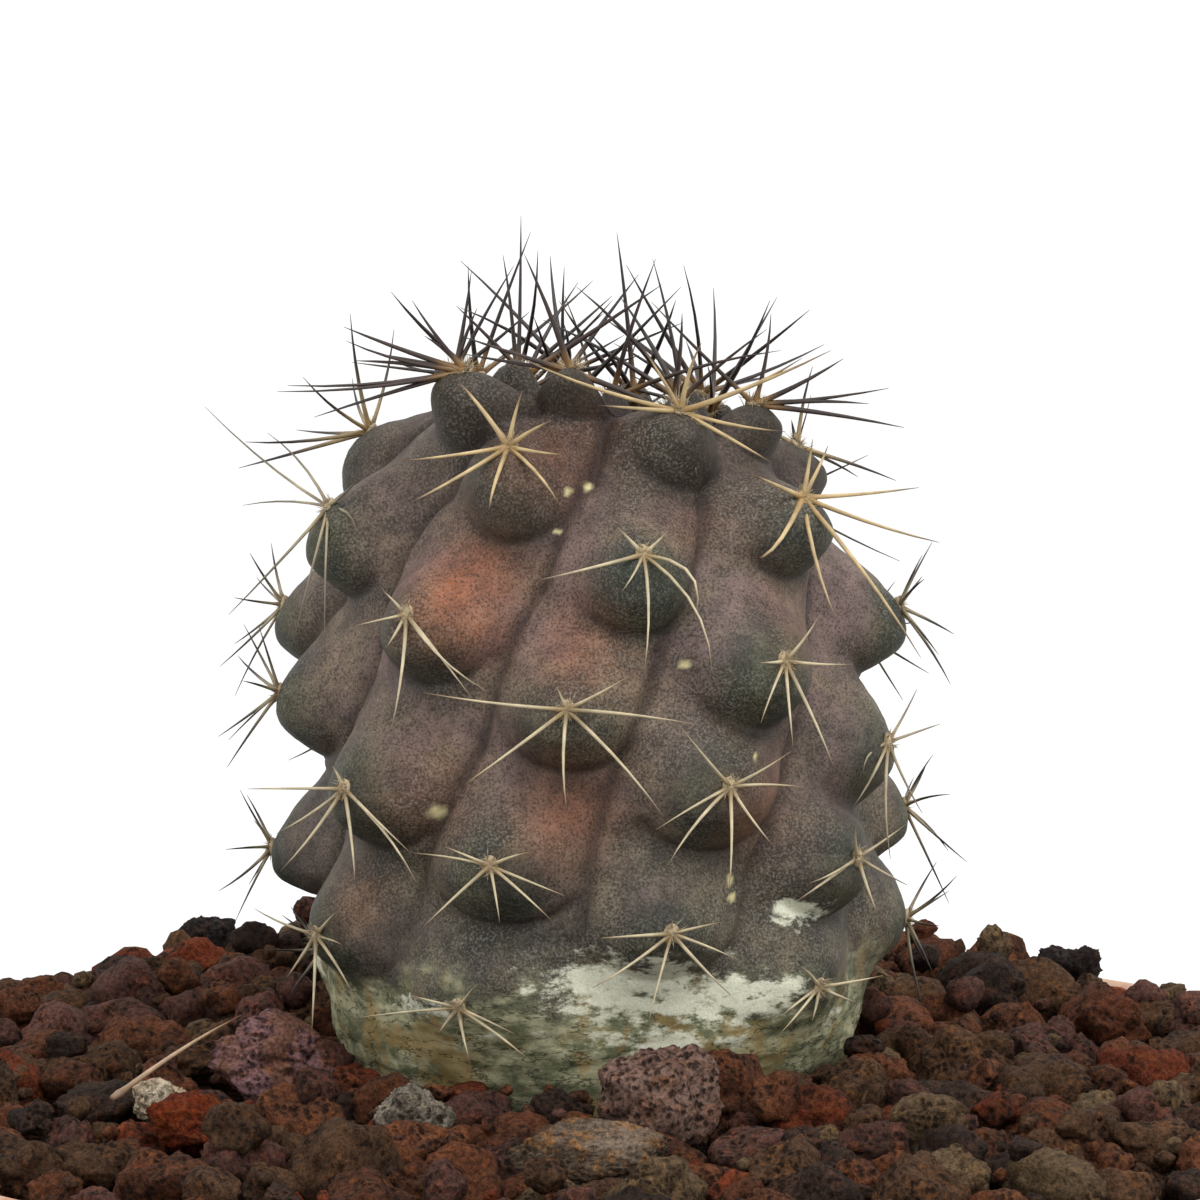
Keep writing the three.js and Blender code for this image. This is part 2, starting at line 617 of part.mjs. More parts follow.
function plantSolid() {
  const random = makeRandom(SPINE_SEED);
  const parts = [toSolid(stemGeometry())];
  for (const tubercle of TUBERCLES) {
    const start = skinPoint(tubercle.turn, tubercle.s);
    const { outward } = frameAt(tubercle);
    for (const spine of spinesOf(tubercle, random)) {
      const kept = spine.clone().multiplyScalar(clearReach(start, spine));
      if (tubercle.n === FIRST_TUBERCLE || kept.length() < SHORTEST_SPINE) continue;
      parts.push(toSolid(needleGeometry(start, kept, outward)));
    }
  }
  return largestBody(wasm.Manifold.union(parts));
}

// Stones

// A rough stone: an icosahedron whose corners are pushed in and out, stretched to a size and turned.
function stoneGeometry(size, turn, random, detail) {
  const ball = new THREE.IcosahedronGeometry(0.5, detail);
  ball.deleteAttribute("normal");
  ball.deleteAttribute("uv");
  const stone = mergeVertices(ball, 1e-4);
  const corners = stone.attributes.position;
  for (let i = 0; i < corners.count; i++) {
    const push = 0.9 + 0.22 * random();
    corners.setXYZ(i, corners.getX(i) * push, corners.getY(i) * push, corners.getZ(i) * push);
  }
  return stone
    .rotateX(random() * Math.PI)
    .scale(size[0], size[1], size[2])
    .rotateZ(turn);
}

// Places for the stones that cover the bed: darts that keep their distance from one another, larger
// ones first.
function throwStones() {
  const random = makeRandom(STONE_SEED);
  const outer = LIP_INNER_RADIUS - GAP;
  const kept = [];
  for (let i = 0; i < STONE_TRIES; i++) {
    const size = STONE_MIN_SIZE + (STONE_MAX_SIZE - STONE_MIN_SIZE) * (1 - i / STONE_TRIES) * random();
    const away = outer * Math.sqrt(random());
    const angle = 2 * Math.PI * random();
    const [x, y] = [away * Math.cos(angle), away * Math.sin(angle)];
    const clearOf = (other, room) => Math.hypot(x - other.x, y - other.y) > room;
    const fits =
      away + 0.44 * size < outer &&
      clearOf({ x: PLANT_X, y: 0 }, TIP_OUTLINE[0][0] + 0.4 * size) &&
      LOOSE_STONES.every((stone) => clearOf(stone, LOOSE_STONE_ROOM * (size + stone.size[1]))) &&
      kept.every((other) => clearOf(other, (STONE_CROWDING * (size + other.size)) / 2));
    if (fits) kept.push({ x, y, size, squash: 0.72 + 0.2 * random() });
  }
  return kept;
}

// The room that the gravel has: the pot's inside with a bare gap to its wall, open above.
function fillRoom() {
  const top = FILL_LEVEL + 12;
  const wide = LIP_INNER_RADIUS - GAP;
  const profile = [
    [0, FLOOR_TOP],
    [innerRadius(FLOOR_TOP) - GAP, FLOOR_TOP],
    [innerRadius(COLLAR_BOTTOM) - GAP, COLLAR_BOTTOM],
    [wide, POT_HEIGHT - POT_LIP_DEPTH / 2],
    [wide, top],
    [0, top],
  ];
  return toSolid(turned(profile, POT_SIDES));
}

// The packed gravel below the stones on top: its upper face follows the mean surface.
function bedGeometry() {
  const edge = POT_RIM_RADIUS + 2;
  const rings = [1, 0.92, 0.84, 0.74, 0.64, 0.54, 0.42].map((share) => [share * edge, FILL_LEVEL]);
  const profile = [[0, FLOOR_TOP], [edge, FLOOR_TOP], ...rings, [0, FILL_LEVEL]];
  const bed = turned(profile, BED_SIDES);
  const points = bed.attributes.position;
  for (let i = 0; i < points.count; i++) {
    const [x, y, z] = [points.getX(i), points.getY(i), points.getZ(i)];
    const lump = BED_ROUGHNESS * Math.sin(1.9 * x + 0.7 * y) * Math.sin(2.1 * y - 0.6 * x);
    if (z > FLOOR_TOP + 1) points.setZ(i, gravelHeight(x, y) - BED_BELOW_MEAN + lump);
  }
  return bed;
}

// The plain hole that the stem's neck and taproot stand in. It widens above the gravel, round the
// lowest tubercles.
function plantHole() {
  const neck = ROOT_OUTLINE.map(([radius, height]) => [radius + HOLE_CORNER_GAP, height]).reverse();
  const mouth = TIP_OUTLINE[0][0] + HOLE_CORNER_GAP;
  const profile = [
    [0, neck[0][1] - ROOT_TIP_LENGTH - GAP],
    ...neck,
    [mouth, 0],
    [mouth + 1, 2.5],
    [mouth + 3.5, 6],
    [0, 6],
  ];
  return toSolid(turned(profile, HOLE_SIDES).translate(PLANT_X, 0, PLANT_BASE_Z));
}

function looseStones() {
  const random = makeRandom(STONE_SEED + 1);
  return LOOSE_STONES.map((stone) => {
    const geometry = stoneGeometry(stone.size, stone.turn * DEGREE, random, 1);
    const z = gravelHeight(stone.x, stone.y) + (stone.rest ?? LOOSE_STONE_REST) * stone.size[2];
    const [wide, deep, high] = stone.size.map((size) => 1 + LOOSE_STONE_SEAT / size);
    const seat = geometry.clone().scale(wide, deep, high).translate(stone.x, stone.y, z);
    return { ...stone, geometry: geometry.translate(stone.x, stone.y, z), seat: toSolid(seat) };
  });
}

function fallenSpineGeometry() {
  const { from, to, rises, radius, sides } = FALLEN_SPINE;
  const ends = [from, to].map(([x, y], i) => new THREE.Vector3(x, y, gravelHeight(x, y) + rises[i]));
  const corners = [];
  for (let i = 0; i < sides; i++) {
    const angle = (i / sides) * 2 * Math.PI;
    corners.push(new THREE.Vector2(radius * Math.cos(angle), radius * Math.sin(angle)));
  }
  const extrudePath = new THREE.LineCurve3(...ends);
  return new THREE.ExtrudeGeometry(new THREE.Shape(corners), { steps: 1, bevelEnabled: false, extrudePath });
}

function gravelSolid(loose) {
  const random = makeRandom(STONE_SEED + 2);
  const stones = throwStones().map(({ x, y, size, squash }) => {
    const turn = 2 * Math.PI * random();
    const stone = stoneGeometry([size, size * 0.86, size * squash], turn, random, 0);
    return toSolid(stone.translate(x, y, gravelHeight(x, y) + STONE_LIFT * size));
  });
  const heap = wasm.Manifold.union([toSolid(bedGeometry()), ...stones]);
  const cut = wasm.Manifold.union([plantHole(), ...loose.map((stone) => stone.seat)]);
  return largestBody(heap.intersect(fillRoom()).subtract(cut));
}

// The finished object

const FINISHES = {
  pot: { color: "#b5714e", roughness: 0.55 },
  gravel: { color: "#5a3324", roughness: 0.95 },
  plant: { color: "#6a5f50", roughness: 0.7 },
  spine: { color: "#c9b48d", roughness: 0.6 },
};

function piece(name, geometry, finish) {
  const material = new THREE.MeshStandardMaterial({ metalness: 0, flatShading: true, ...finish });
  const mesh = new THREE.Mesh(geometry, material);
  mesh.name = name;
  return mesh;
}

const loose = looseStones();
const pottedPlant = new THREE.Group();
pottedPlant.add(piece("pot", toGeometry(potSolid()), FINISHES.pot));
pottedPlant.add(piece("lava_gravel", toGeometry(gravelSolid(loose)), FINISHES.gravel));
pottedPlant.add(piece("cactus_stem_with_spines", toGeometry(plantSolid()), FINISHES.plant));
pottedPlant.add(piece("fallen_spine", fallenSpineGeometry(), FINISHES.spine));
for (const stone of loose) {
  pottedPlant.add(piece(stone.name, stone.geometry, { color: stone.colour, roughness: 0.95 }));
}

export default pottedPlant;
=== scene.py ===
# A young Copiapoa hybrid in lava gravel, in a round terracotta-coloured pot, dressed over its CAD model.
# The frame is the CAD's: metres, +Z up, origin at the centre of the pot's foot, and -Y towards the camera.
import math
import random

import bmesh
import bpy
import numpy as np
from mathutils import Matrix, Vector, noise


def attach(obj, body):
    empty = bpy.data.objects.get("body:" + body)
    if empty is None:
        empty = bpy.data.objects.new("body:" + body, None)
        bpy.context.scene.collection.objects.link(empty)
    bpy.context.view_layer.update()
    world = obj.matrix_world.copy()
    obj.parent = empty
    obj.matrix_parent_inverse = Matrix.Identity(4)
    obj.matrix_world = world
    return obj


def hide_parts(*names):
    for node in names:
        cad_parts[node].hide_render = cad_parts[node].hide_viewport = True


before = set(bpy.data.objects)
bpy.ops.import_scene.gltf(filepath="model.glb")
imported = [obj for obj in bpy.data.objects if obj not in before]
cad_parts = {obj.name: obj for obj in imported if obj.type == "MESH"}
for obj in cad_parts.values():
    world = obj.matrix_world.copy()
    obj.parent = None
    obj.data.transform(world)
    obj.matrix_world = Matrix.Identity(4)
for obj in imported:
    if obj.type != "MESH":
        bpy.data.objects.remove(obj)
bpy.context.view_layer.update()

# Pot
# A thin round nursery pot, injection moulded in terracotta-coloured polypropylene, with a rolled lip.
# The photograph shows only a stretch of its rear rim. The collar, taper, foot ring and drain holes are
# those of a common pot.

MM = 0.001
POT_HEIGHT = 67.6
POT_RIM_RADIUS = 42
POT_FOOT_RADIUS = 29
POT_WALL = 1.2
POT_COLLAR_BOTTOM = 58.6
POT_COLLAR_STEP = 1.4
POT_FOOT_INNER = 25.5
POT_FLOOR_UNDERSIDE = 1.8
POT_FLOOR_TOP = 3.2
LIP_BEAD = 1.0
FOOT_ROUND, COLLAR_FILLET, COLLAR_ROUND = 0.5, 0.35, 0.3
FLOOR_OPENING, FLOOR_FLAT = 0.5, 12
DRAIN_COUNT = 5
DRAIN_RADIUS = 2.6
DRAIN_CIRCLE = 14
FOOT_NOTCH_WIDTH = 5
FOOT_NOTCH_HEIGHT = 1.0
FOOT_NOTCH_TURNS = (45, 135)
DRAIN_SIDES, DRILL_LENGTH = 40, 20
POT_SIDES = 240
POT_SHARP_ANGLE = 32
POT_TAPER = (POT_RIM_RADIUS - POT_COLLAR_STEP - POT_FOOT_RADIUS) / POT_COLLAR_BOTTOM


def linear(colour):
    """An sRGB hex colour as the linear values that the shader works in."""
    parts = [int(colour[i:i + 2], 16) / 255 for i in (1, 3, 5)]
    return tuple(p / 12.92 if p <= 0.04045 else ((p + 0.055) / 1.055) ** 2.4 for p in parts) + (1,)


def per_metre(size_mm):
    """The texture scale at which one cell of a pattern is this many millimetres wide."""
    return 1 / (size_mm * MM)


def connect(tree, node, inputs):
    """Gives a node's inputs their values, or links them to an output, which of a node is its first in use."""
    for name, value in inputs.items():
        socket = [s for i, s in enumerate(node.inputs) if s.enabled and name in (s.name, i)][0]
        if isinstance(value, bpy.types.Node):
            value = [s for s in value.outputs if s.enabled][0]
        if isinstance(value, bpy.types.NodeSocket):
            tree.links.new(value, socket)
        else:
            socket.default_value = value


def add_node(tree, kind, inputs=None, **settings):
    """Adds a node with its settings, its inputs' values and its links."""
    made = tree.nodes.new("ShaderNode" + kind)
    for name, value in settings.items():
        setattr(made, name, value)
    connect(tree, made, inputs or {})
    return made


def new_material(name, **uniform):
    """A material with one Principled shader, whose sockets get the values that are the same all over."""
    material = bpy.data.materials.new(name)
    material.use_nodes = True
    shader = material.node_tree.nodes["Principled BSDF"]
    for socket, value in uniform.items():
        shader.inputs[socket.replace("_", " ")].default_value = value
    return material, material.node_tree, shader


def inner_radius(z):
    """The pot's inner radius at a height below the collar, in millimetres."""
    return POT_FOOT_RADIUS + POT_TAPER * z - POT_WALL


def new_piece(name, points_mm, faces, material, replaced, sharp_angle=None):
    """An object in the row's frame from points in millimetres, riding on the pot and with its material."""
    mesh = bpy.data.meshes.new(name)
    mesh.from_pydata(np.asarray(points_mm, float) * MM, [], faces)
    mesh.update()
    mesh.shade_smooth()
    if sharp_angle:
        mesh.set_sharp_from_angle(angle=math.radians(sharp_angle))
    mesh.materials.append(material)
    made = bpy.data.objects.new(name, mesh)
    bpy.context.scene.collection.objects.link(made)
    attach(made, "root")
    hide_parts(*replaced)
    return made


def full_turn(sides):
    """Even angles once round."""
    return np.arange(sides) / sides * 2 * math.pi


def turned(profile, sides):
    """Points and faces of a closed ring turned about +Z from a closed profile of (radius, height) points."""
    profile = np.asarray(profile, float)
    turn = full_turn(sides)
    x = np.outer(np.cos(turn), profile[:, 0])
    y = np.outer(np.sin(turn), profile[:, 0])
    z = np.tile(profile[:, 1], (sides, 1))
    points = np.stack([x, y, z], axis=-1).reshape(-1, 3)
    count = len(profile)
    faces = []
    for i in range(sides):
        for k in range(count):
            here, after = i * count, (i + 1) % sides * count
            faces.append((here + k, after + k, after + (k + 1) % count, here + (k + 1) % count))
    return points, faces


def arc(centre, radius, start, end, steps):
    """Points of a rounded edge in a profile, from one angle in degrees to another."""
    angles = np.radians(np.linspace(start, end, steps))
    return [(centre[0] + radius * math.cos(a), centre[1] + radius * math.sin(a)) for a in angles]


def pot_profile():
    """The wall's outline, from the drain floor's middle out under the foot, up, over the lip and back in."""
    collar_edge = POT_RIM_RADIUS - POT_COLLAR_STEP / 3
    body_top = POT_RIM_RADIUS - POT_COLLAR_STEP
    bead = (POT_RIM_RADIUS - LIP_BEAD, POT_HEIGHT - LIP_BEAD)
    points = [(FLOOR_OPENING, POT_FLOOR_UNDERSIDE), (FLOOR_FLAT, POT_FLOOR_UNDERSIDE)]
    points += [(POT_FOOT_INNER - 0.4, POT_FLOOR_UNDERSIDE), (POT_FOOT_INNER, 1.4)]
    points += [(POT_FOOT_INNER + 0.1, 0.3), (POT_FOOT_INNER + 0.4, 0)]
    points += arc((POT_FOOT_RADIUS - FOOT_ROUND, FOOT_ROUND), FOOT_ROUND, -90, -8, 6)
    points += [(POT_FOOT_RADIUS + POT_TAPER * z, z) for z in np.linspace(2, POT_COLLAR_BOTTOM - 0.5, 22)]
    points += arc((body_top + 0.3, POT_COLLAR_BOTTOM - COLLAR_FILLET), COLLAR_FILLET, 180, 95, 4)
    points += arc((collar_edge - COLLAR_ROUND, POT_COLLAR_BOTTOM + COLLAR_ROUND), COLLAR_ROUND, -85, 0, 5)
    points += [(collar_edge + 0.05 * k, POT_COLLAR_BOTTOM + COLLAR_ROUND + 1.35 * k) for k in range(1, 5)]
    points += arc(bead, LIP_BEAD, -35, 215, 22)
    points += [(POT_RIM_RADIUS - 2 * LIP_BEAD - 0.1, POT_HEIGHT - 3)]
    points += [(inner_radius(z), z) for z in (POT_COLLAR_BOTTOM, *np.linspace(56, 5, 12))]
    points += [(inner_radius(POT_FLOOR_TOP) - 0.8, POT_FLOOR_TOP)]
    points += [(FLOOR_FLAT, POT_FLOOR_TOP), (FLOOR_OPENING, POT_FLOOR_TOP)]
    return points


def moulded_polypropylene():
    """Injection-moulded polypropylene: satin, with a faint spark-eroded grain, dried hard-water dust, and a
    painted highlight along the top of the lip.
    """
    material, tree, shader = new_material("moulded_polypropylene", IOR=1.49, Metallic=0.0)
    place = add_node(tree, "TexCoord").outputs["Object"]
    clouds = add_node(tree, "TexNoise", {"Vector": place, "Scale": per_metre(14), "Detail": 3.0})
    body = add_node(tree, "Mix", {
        "Factor": clouds, "A": linear("#a25c34"), "B": linear("#b46d43")}, data_type="RGBA")
    dust = add_node(tree, "TexNoise", {
        "Vector": place, "Scale": per_metre(2.2), "Detail": 8.0, "Roughness": 0.72})
    height = add_node(tree, "SeparateXYZ", {"Vector": place}).outputs["Z"]
    # Painted highlight: the lip's top 0.9 mm is paled towards the dust's colour, added onto the real dust.
    rim_top_highlight = add_node(tree, "MapRange", {
        "Value": height, "From Min": (POT_HEIGHT - 0.9) * MM, "From Max": POT_HEIGHT * MM, "To Max": 0.34})
    dust_and_rim_highlight = add_node(tree, "Math", {0: dust, 1: rim_top_highlight}, operation="ADD")
    dust_and_highlight = add_node(tree, "MapRange", {
        "Value": dust_and_rim_highlight, "From Min": 0.58, "From Max": 0.86, "To Max": 0.62}, interpolation_type="SMOOTHSTEP")
    colour = add_node(tree, "Mix", {"Factor": dust_and_highlight, "A": body, "B": linear("#cdb9a3")}, data_type="RGBA")
    rough = add_node(tree, "MapRange", {
        "Value": dust_and_highlight, "From Min": 0.0, "From Max": 0.6, "To Min": 0.46, "To Max": 0.8})
    # The mould's grain is drawn 0.35 mm wide, coarser than a real one, so that it shows.
    grain = add_node(tree, "TexNoise", {"Vector": place, "Scale": per_metre(0.35), "Detail": 2.0})
    relief = add_node(tree, "Bump", {"Height": grain, "Strength": 0.25, "Distance": 0.04 * MM})
    connect(tree, shader, {"Base Color": colour, "Roughness": rough, "Normal": relief})
    return material


def make_pot():
    """Turns the pot, closes its floor, and cuts the drain holes and the notches under the foot."""
    points, faces = turned(pot_profile(), POT_SIDES)
    pot = new_piece(
        "pot_moulded_shell", points, faces, moulded_polypropylene(), ["pot"], POT_SHARP_ANGLE)
    # The floor's small middle opening is closed by a disc on each side, before the drain holes are cut.
    shell = bmesh.new()
    shell.from_mesh(pot.data)
    bmesh.ops.holes_fill(shell, edges=shell.edges, sides=POT_SIDES)
    shell.to_mesh(pot.data)
    shell.free()
    cutters = bmesh.new()
    for i in range(DRAIN_COUNT):
        angle = i / DRAIN_COUNT * 2 * math.pi
        centre = Vector((DRAIN_CIRCLE * math.sin(angle), DRAIN_CIRCLE * math.cos(angle), 0)) * MM
        bmesh.ops.create_cone(
            cutters, cap_ends=True, segments=DRAIN_SIDES, radius1=DRAIN_RADIUS * MM,
            radius2=DRAIN_RADIUS * MM, depth=DRILL_LENGTH * MM, matrix=Matrix.Translation(centre))
    for degrees in FOOT_NOTCH_TURNS:
        notch = Matrix.Diagonal((
            3 * POT_FOOT_RADIUS * MM, FOOT_NOTCH_WIDTH * MM, 2 * FOOT_NOTCH_HEIGHT * MM, 1))
        bmesh.ops.create_cube(cutters, size=1, matrix=Matrix.Rotation(math.radians(degrees), 4, "Z") @ notch)
    mesh = bpy.data.meshes.new("drain_cutters")
    cutters.to_mesh(mesh)
    cutters.free()
    drills = bpy.data.objects.new("drain_cutters", mesh)
    bpy.context.scene.collection.objects.link(drills)
    cut = pot.modifiers.new("drains", "BOOLEAN")
    cut.operation = "DIFFERENCE"
    cut.solver = "EXACT"
    cut.use_self = True
    cut.object = drills
    evaluated = pot.evaluated_get(bpy.context.evaluated_depsgraph_get())
    finished = bpy.data.meshes.new_from_object(evaluated)
    pot.modifiers.remove(cut)
    pot.data = finished
    finished.shade_smooth()
    finished.set_sharp_from_angle(angle=math.radians(POT_SHARP_ANGLE))
    bpy.data.objects.remove(drills)
    bpy.data.meshes.remove(mesh)


make_pot()

# Lava gravel
# Crushed red-brown lava, 2.5 to 6 mm, porous with burst bubbles, heaped a little at the back of the pot.
# The packed gravel under it is one closed body, and every grain on top is its own broken stone.

LIP_INNER_RADIUS = 40
GAP = 0.3
FILL_LEVEL = 68
FILL_EDGE_DROP = 2.2
FILL_CENTRE_RISE = 0.6
FILL_EDGE_POWER, HEAP_EDGE_POWER = 6, 12
# Heaps and a hollow at the back: x, y, rise and spread.
HEAPS = [(-18, 22, 2.5, 9), (19, 23, 1.5, 9), (-31, 14, 0.9, 10), (33, 19, -0.7, 7)]
PLANT_X = -0.6
PLANT_BASE_Z = 68.8
COLLAR_RADIUS = 13.6
GRAIN_SEED = 7301
# Layers of grains, from the lowest: how many are thrown, how close they lie, the least and most width, the
# room to the rim by width, whether the loose stones' places stay free, the lift over the mean height, and how
# many faces wide a near and a far grain's sides are.
GRAIN_LAYERS = [
    (5000, 0.78, 2.4, 3.6, 0.5, False, -1.8, 4, 4),
    (16000, 0.80, 2.5, 5.6, 0.46, True, 0.25, 11, 6),
    (150, 1.6, 2.0, 3.2, 0.7, True, 1.75, 11, 6),
    (700, 1.5, 0.7, 1.5, 0.8, True, 1.0, 4, 3),
]
NEAR_BEFORE = 2
# How the draws of a grain's size are skewed, and how far by its width it stays off the plant and a stone.
SIZE_SKEW, CLEAR_OF_PLANT, CLEAR_OF_STONE = 0.8, 0.42, 0.43
# A grain's length, width and height by its size, how unevenly it lies, and how light it is.
GRAIN_LENGTH, GRAIN_WIDTHS, GRAIN_HEIGHTS = 1.06, (0.7, 1.0), (0.66, 0.95)
GRAIN_UNEVEN = 0.35
GRAIN_TONES = (0.92, 1.5)
# How a stone breaks: how near the middle a flat face lies, how far its corners reach, its lumps as (waves,
# share), and how uneven its crumbs are.
FACETS_FROM, FARTHEST = 0.68, 1.14
LUMP_WAVES = ((2.3, 1.0), (4.7, 0.6), (9.5, 0.4))
CRUMBLE = 0.026
ABOUT_A_TURN = 6.3
ALMOST_NONE = 1e-9
# Beside a loose stone the grains lie lower, within its half size and these many millimetres more.
LOWER_BY_STONE = 1.2
LOWER_BESIDE, LOWER_BEFORE, LOWER_FORWARD = 2, 2.5, 1
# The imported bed: its depth under the grains' mean height, its lumps and the level of the noise that they
# follow, and its hole for the plant's neck, given as (radius, height from the plant's base).
BED_BELOW = 2.5
BED_LUMPS, BED_LUMPS_PER_MM, BED_LUMPS_LEVEL = 0.9, 0.8, 3.1
BED_NECK = [(2.0, -38.3), (4.0, -26), (5.8, -15), (8.0, -9), (12.0, -6.5), (13.5, -3)]
BED_NECK_END = -39.3
BED_INNER_RADIUS = 13.7
BED_OUTER_RADIUS = LIP_INNER_RADIUS - GAP - 0.5
BED_WALL_HEIGHTS = (POT_COLLAR_BOTTOM, 40, 20, POT_FLOOR_TOP + 0.02)
BED_SIDES, BED_RINGS = 150, 34
BED_TONE = 0.8
BED_SHARP_ANGLE = 50
# Kinds of grain, by colour: share of the whole, the two tones and the rust that mottle each, and the painted
# shade in its pores.
GRAIN_KINDS = {
    "rust_lava": (0.28, "#52301f", "#422a1e", "#653b21", "#190d09"),
    "brown_lava": (0.28, "#463223", "#3c2a1e", "#5d3d23", "#150e09"),
    "mauve_lava": (0.16, "#4b322b", "#3e2b24", "#61382a", "#170f0c"),
    "red_lava": (0.10, "#5c2a18", "#4a281b", "#6a3a20", "#1a0b07"),
    "dark_lava": (0.12, "#2a201b", "#33251e", "#462d1f", "#0d0806"),
    "tan_lava": (0.06, "#544432", "#463626", "#665035", "#1d150e"),
}
# Larger or odd-coloured loose stones: place, size, how high the middle rests by its height, and turn.
LOOSE_STONES = {
    "stone_pumice_front": (2.5, -21.2, (6.2, 5.2, 5.6), 0.34, 10),
    "stone_flat_front": (-1.2, -26.6, (8.2, 4.6, 3.3), 0.22, -6),
    "stone_mauve_left": (-17.4, -9.0, (7.0, 5.6, 5.4), 0.22, 35),
    "stone_grey_left": (-22.0, -14.4, (3.5, 3.0, 2.7), 0.22, 20),
    "stone_red_left": (-20.5, -20.1, (4.2, 3.8, 3.2), 0.22, -20),
    "stone_grey_base": (-9.5, -18.3, (4.0, 3.4, 3.2), 0.22, -12),
    "stone_dark_back_left": (-23.0, 24.0, (4.0, 3.6, 3.4), 0.3, 15),
    "stone_dark_back_right": (26.6, 24.5, (4.0, 3.4, 3.6), 0.34, 50),
    "stone_pale_back": (4.0, 27.5, (5.0, 4.4, 3.6), 0.22, 65),
    "stone_red_right": (26.5, 6.0, (5.8, 4.8, 4.0), 0.22, -35),
}


def gravel_height(x, y):
    """The mean height of the gravel at a place on the pot's plan, in millimetres."""
    share = np.minimum(np.hypot(x, y) / LIP_INNER_RADIUS, 1)
    fall = FILL_CENTRE_RISE - (FILL_CENTRE_RISE + FILL_EDGE_DROP) * share ** FILL_EDGE_POWER
    heaped = sum(
        rise * np.exp(-((x - hx) ** 2 + (y - hy) ** 2) / spread ** 2) * (1 - share ** HEAP_EDGE_POWER)
        for hx, hy, rise, spread in HEAPS)
    return FILL_LEVEL + fall + heaped


def crushed_lava(name, tone, other_tone, rust_tone, pore_shade, porous=0.5):
    """Crushed lava: dull and crumbly, mottled with rusty stains, riddled in patches with burst bubbles."""
    material, tree, shader = new_material(
        name, IOR=1.5, Metallic=0.0, Roughness=0.92, Specular_IOR_Level=0.15)
    place = add_node(tree, "TexCoord").outputs["Object"]
    stain = add_node(tree, "TexNoise", {
        "Vector": place, "Scale": per_metre(2.2), "Detail": 5.0, "Roughness": 0.6})
    patches = add_node(tree, "MapRange", {
        "Value": stain, "From Min": 0.42, "From Max": 0.58}, interpolation_type="SMOOTHSTEP")
    body = add_node(tree, "Mix", {
        "Factor": patches, "A": linear(tone), "B": linear(other_tone)}, data_type="RGBA")
    rust = add_node(tree, "TexNoise", {
        "Vector": place, "Scale": per_metre(1.1), "Detail": 6.0, "Roughness": 0.7, "Distortion": 0.6})
    rusty = add_node(tree, "MapRange", {
        "Value": rust, "From Min": 0.50, "From Max": 0.64, "To Max": 0.75}, interpolation_type="SMOOTHSTEP")
    stained = add_node(tree, "Mix", {"Factor": rusty, "A": body, "B": linear(rust_tone)}, data_type="RGBA")
    # The crumbly surface: crumbs about 0.28 mm wide, with painted light on their tops and painted shade
    # between them.
    crumbs = add_node(tree, "TexNoise", {
        "Vector": place, "Scale": per_metre(0.28), "Detail": 4.0, "Roughness": 0.8})
    crumb_light_and_shade = add_node(tree, "MapRange", {
        "Value": crumbs, "From Min": 0.36, "From Max": 0.64, "To Min": 0.35, "To Max": 1.65})
    grain_tone = add_node(tree, "Attribute", attribute_name="tone").outputs["Fac"]
    value = add_node(tree, "Math", {0: crumb_light_and_shade, 1: grain_tone}, operation="MULTIPLY")
    toned = add_node(tree, "HueSaturation", {"Value": value, "Color": stained})
    # Burst bubbles about 0.4 mm apart, their outlines bent by the crumbs, in patches of the surface, darkened
    # with painted shade in their hollows.
    shifted = add_node(tree, "MixRGB", {
        "Fac": 0.00022, "Color1": place, "Color2": crumbs.outputs["Color"]}, blend_type="LINEAR_LIGHT")
    bubbles = add_node(tree, "TexVoronoi", {"Vector": shifted, "Scale": per_metre(0.4)})
    pit = add_node(tree, "MapRange", {
        "Value": bubbles, "From Min": 0.50, "From Max": 0.14,
        "To Max": 0.85}, interpolation_type="SMOOTHSTEP")
    bubbly = add_node(tree, "MapRange", {
        "Value": stain, "From Min": 0.60 - 0.3 * porous,
        "From Max": 0.72 - 0.3 * porous}, interpolation_type="SMOOTHSTEP")
    pits = add_node(tree, "Math", {0: pit, 1: bubbly}, operation="MULTIPLY")
    # Painted shade in the bubbles' hollows.
    pit_shaded = add_node(tree, "Mix", {"Factor": pits, "A": toned, "B": linear(pore_shade)}, data_type="RGBA")
    height = add_node(tree, "Math", {0: crumbs, 1: pits}, operation="SUBTRACT")
    relief = add_node(tree, "Bump", {"Height": height, "Strength": 1.0, "Distance": 0.22 * MM})
    connect(tree, shader, {"Base Color": pit_shaded, "Normal": relief})
    return material


def unit(vectors):
    """The vectors' directions, each one unit long."""
    return vectors / np.linalg.norm(vectors, axis=-1, keepdims=True)


def ball_grid(count):
    """Directions and faces of a ball made from a cube's six grids of count by count faces, spread evenly."""
    spread = np.tan(np.linspace(-math.pi / 4, math.pi / 4, count + 1))
    u, v = np.meshgrid(spread, spread, indexing="ij")
    one = np.ones_like(u)
    sheets = [(one, u, v), (-one, v, u), (v, one, u), (u, -one, v), (u, v, one), (v, u, -one)]
    points = unit(np.concatenate([np.stack(sheet, axis=-1).reshape(-1, 3) for sheet in sheets]))
    kept, index = np.unique(np.round(points, 6), axis=0, return_inverse=True)
    index = index.reshape(-1).tolist()
    faces = []
    for sheet in range(6):
        for i in range(count):
            for k in range(count):
                corner = sheet * (count + 1) ** 2 + i * (count + 1) + k
                faces.append([index[corner + step] for step in (0, count + 1, count + 2, 1)])
    return unit(kept), faces


# The balls that grains, stones and areoles are made from, by how many faces wide a side is.
BALLS = {count: ball_grid(count) for count in (3, 4, 6, 11, 24)}


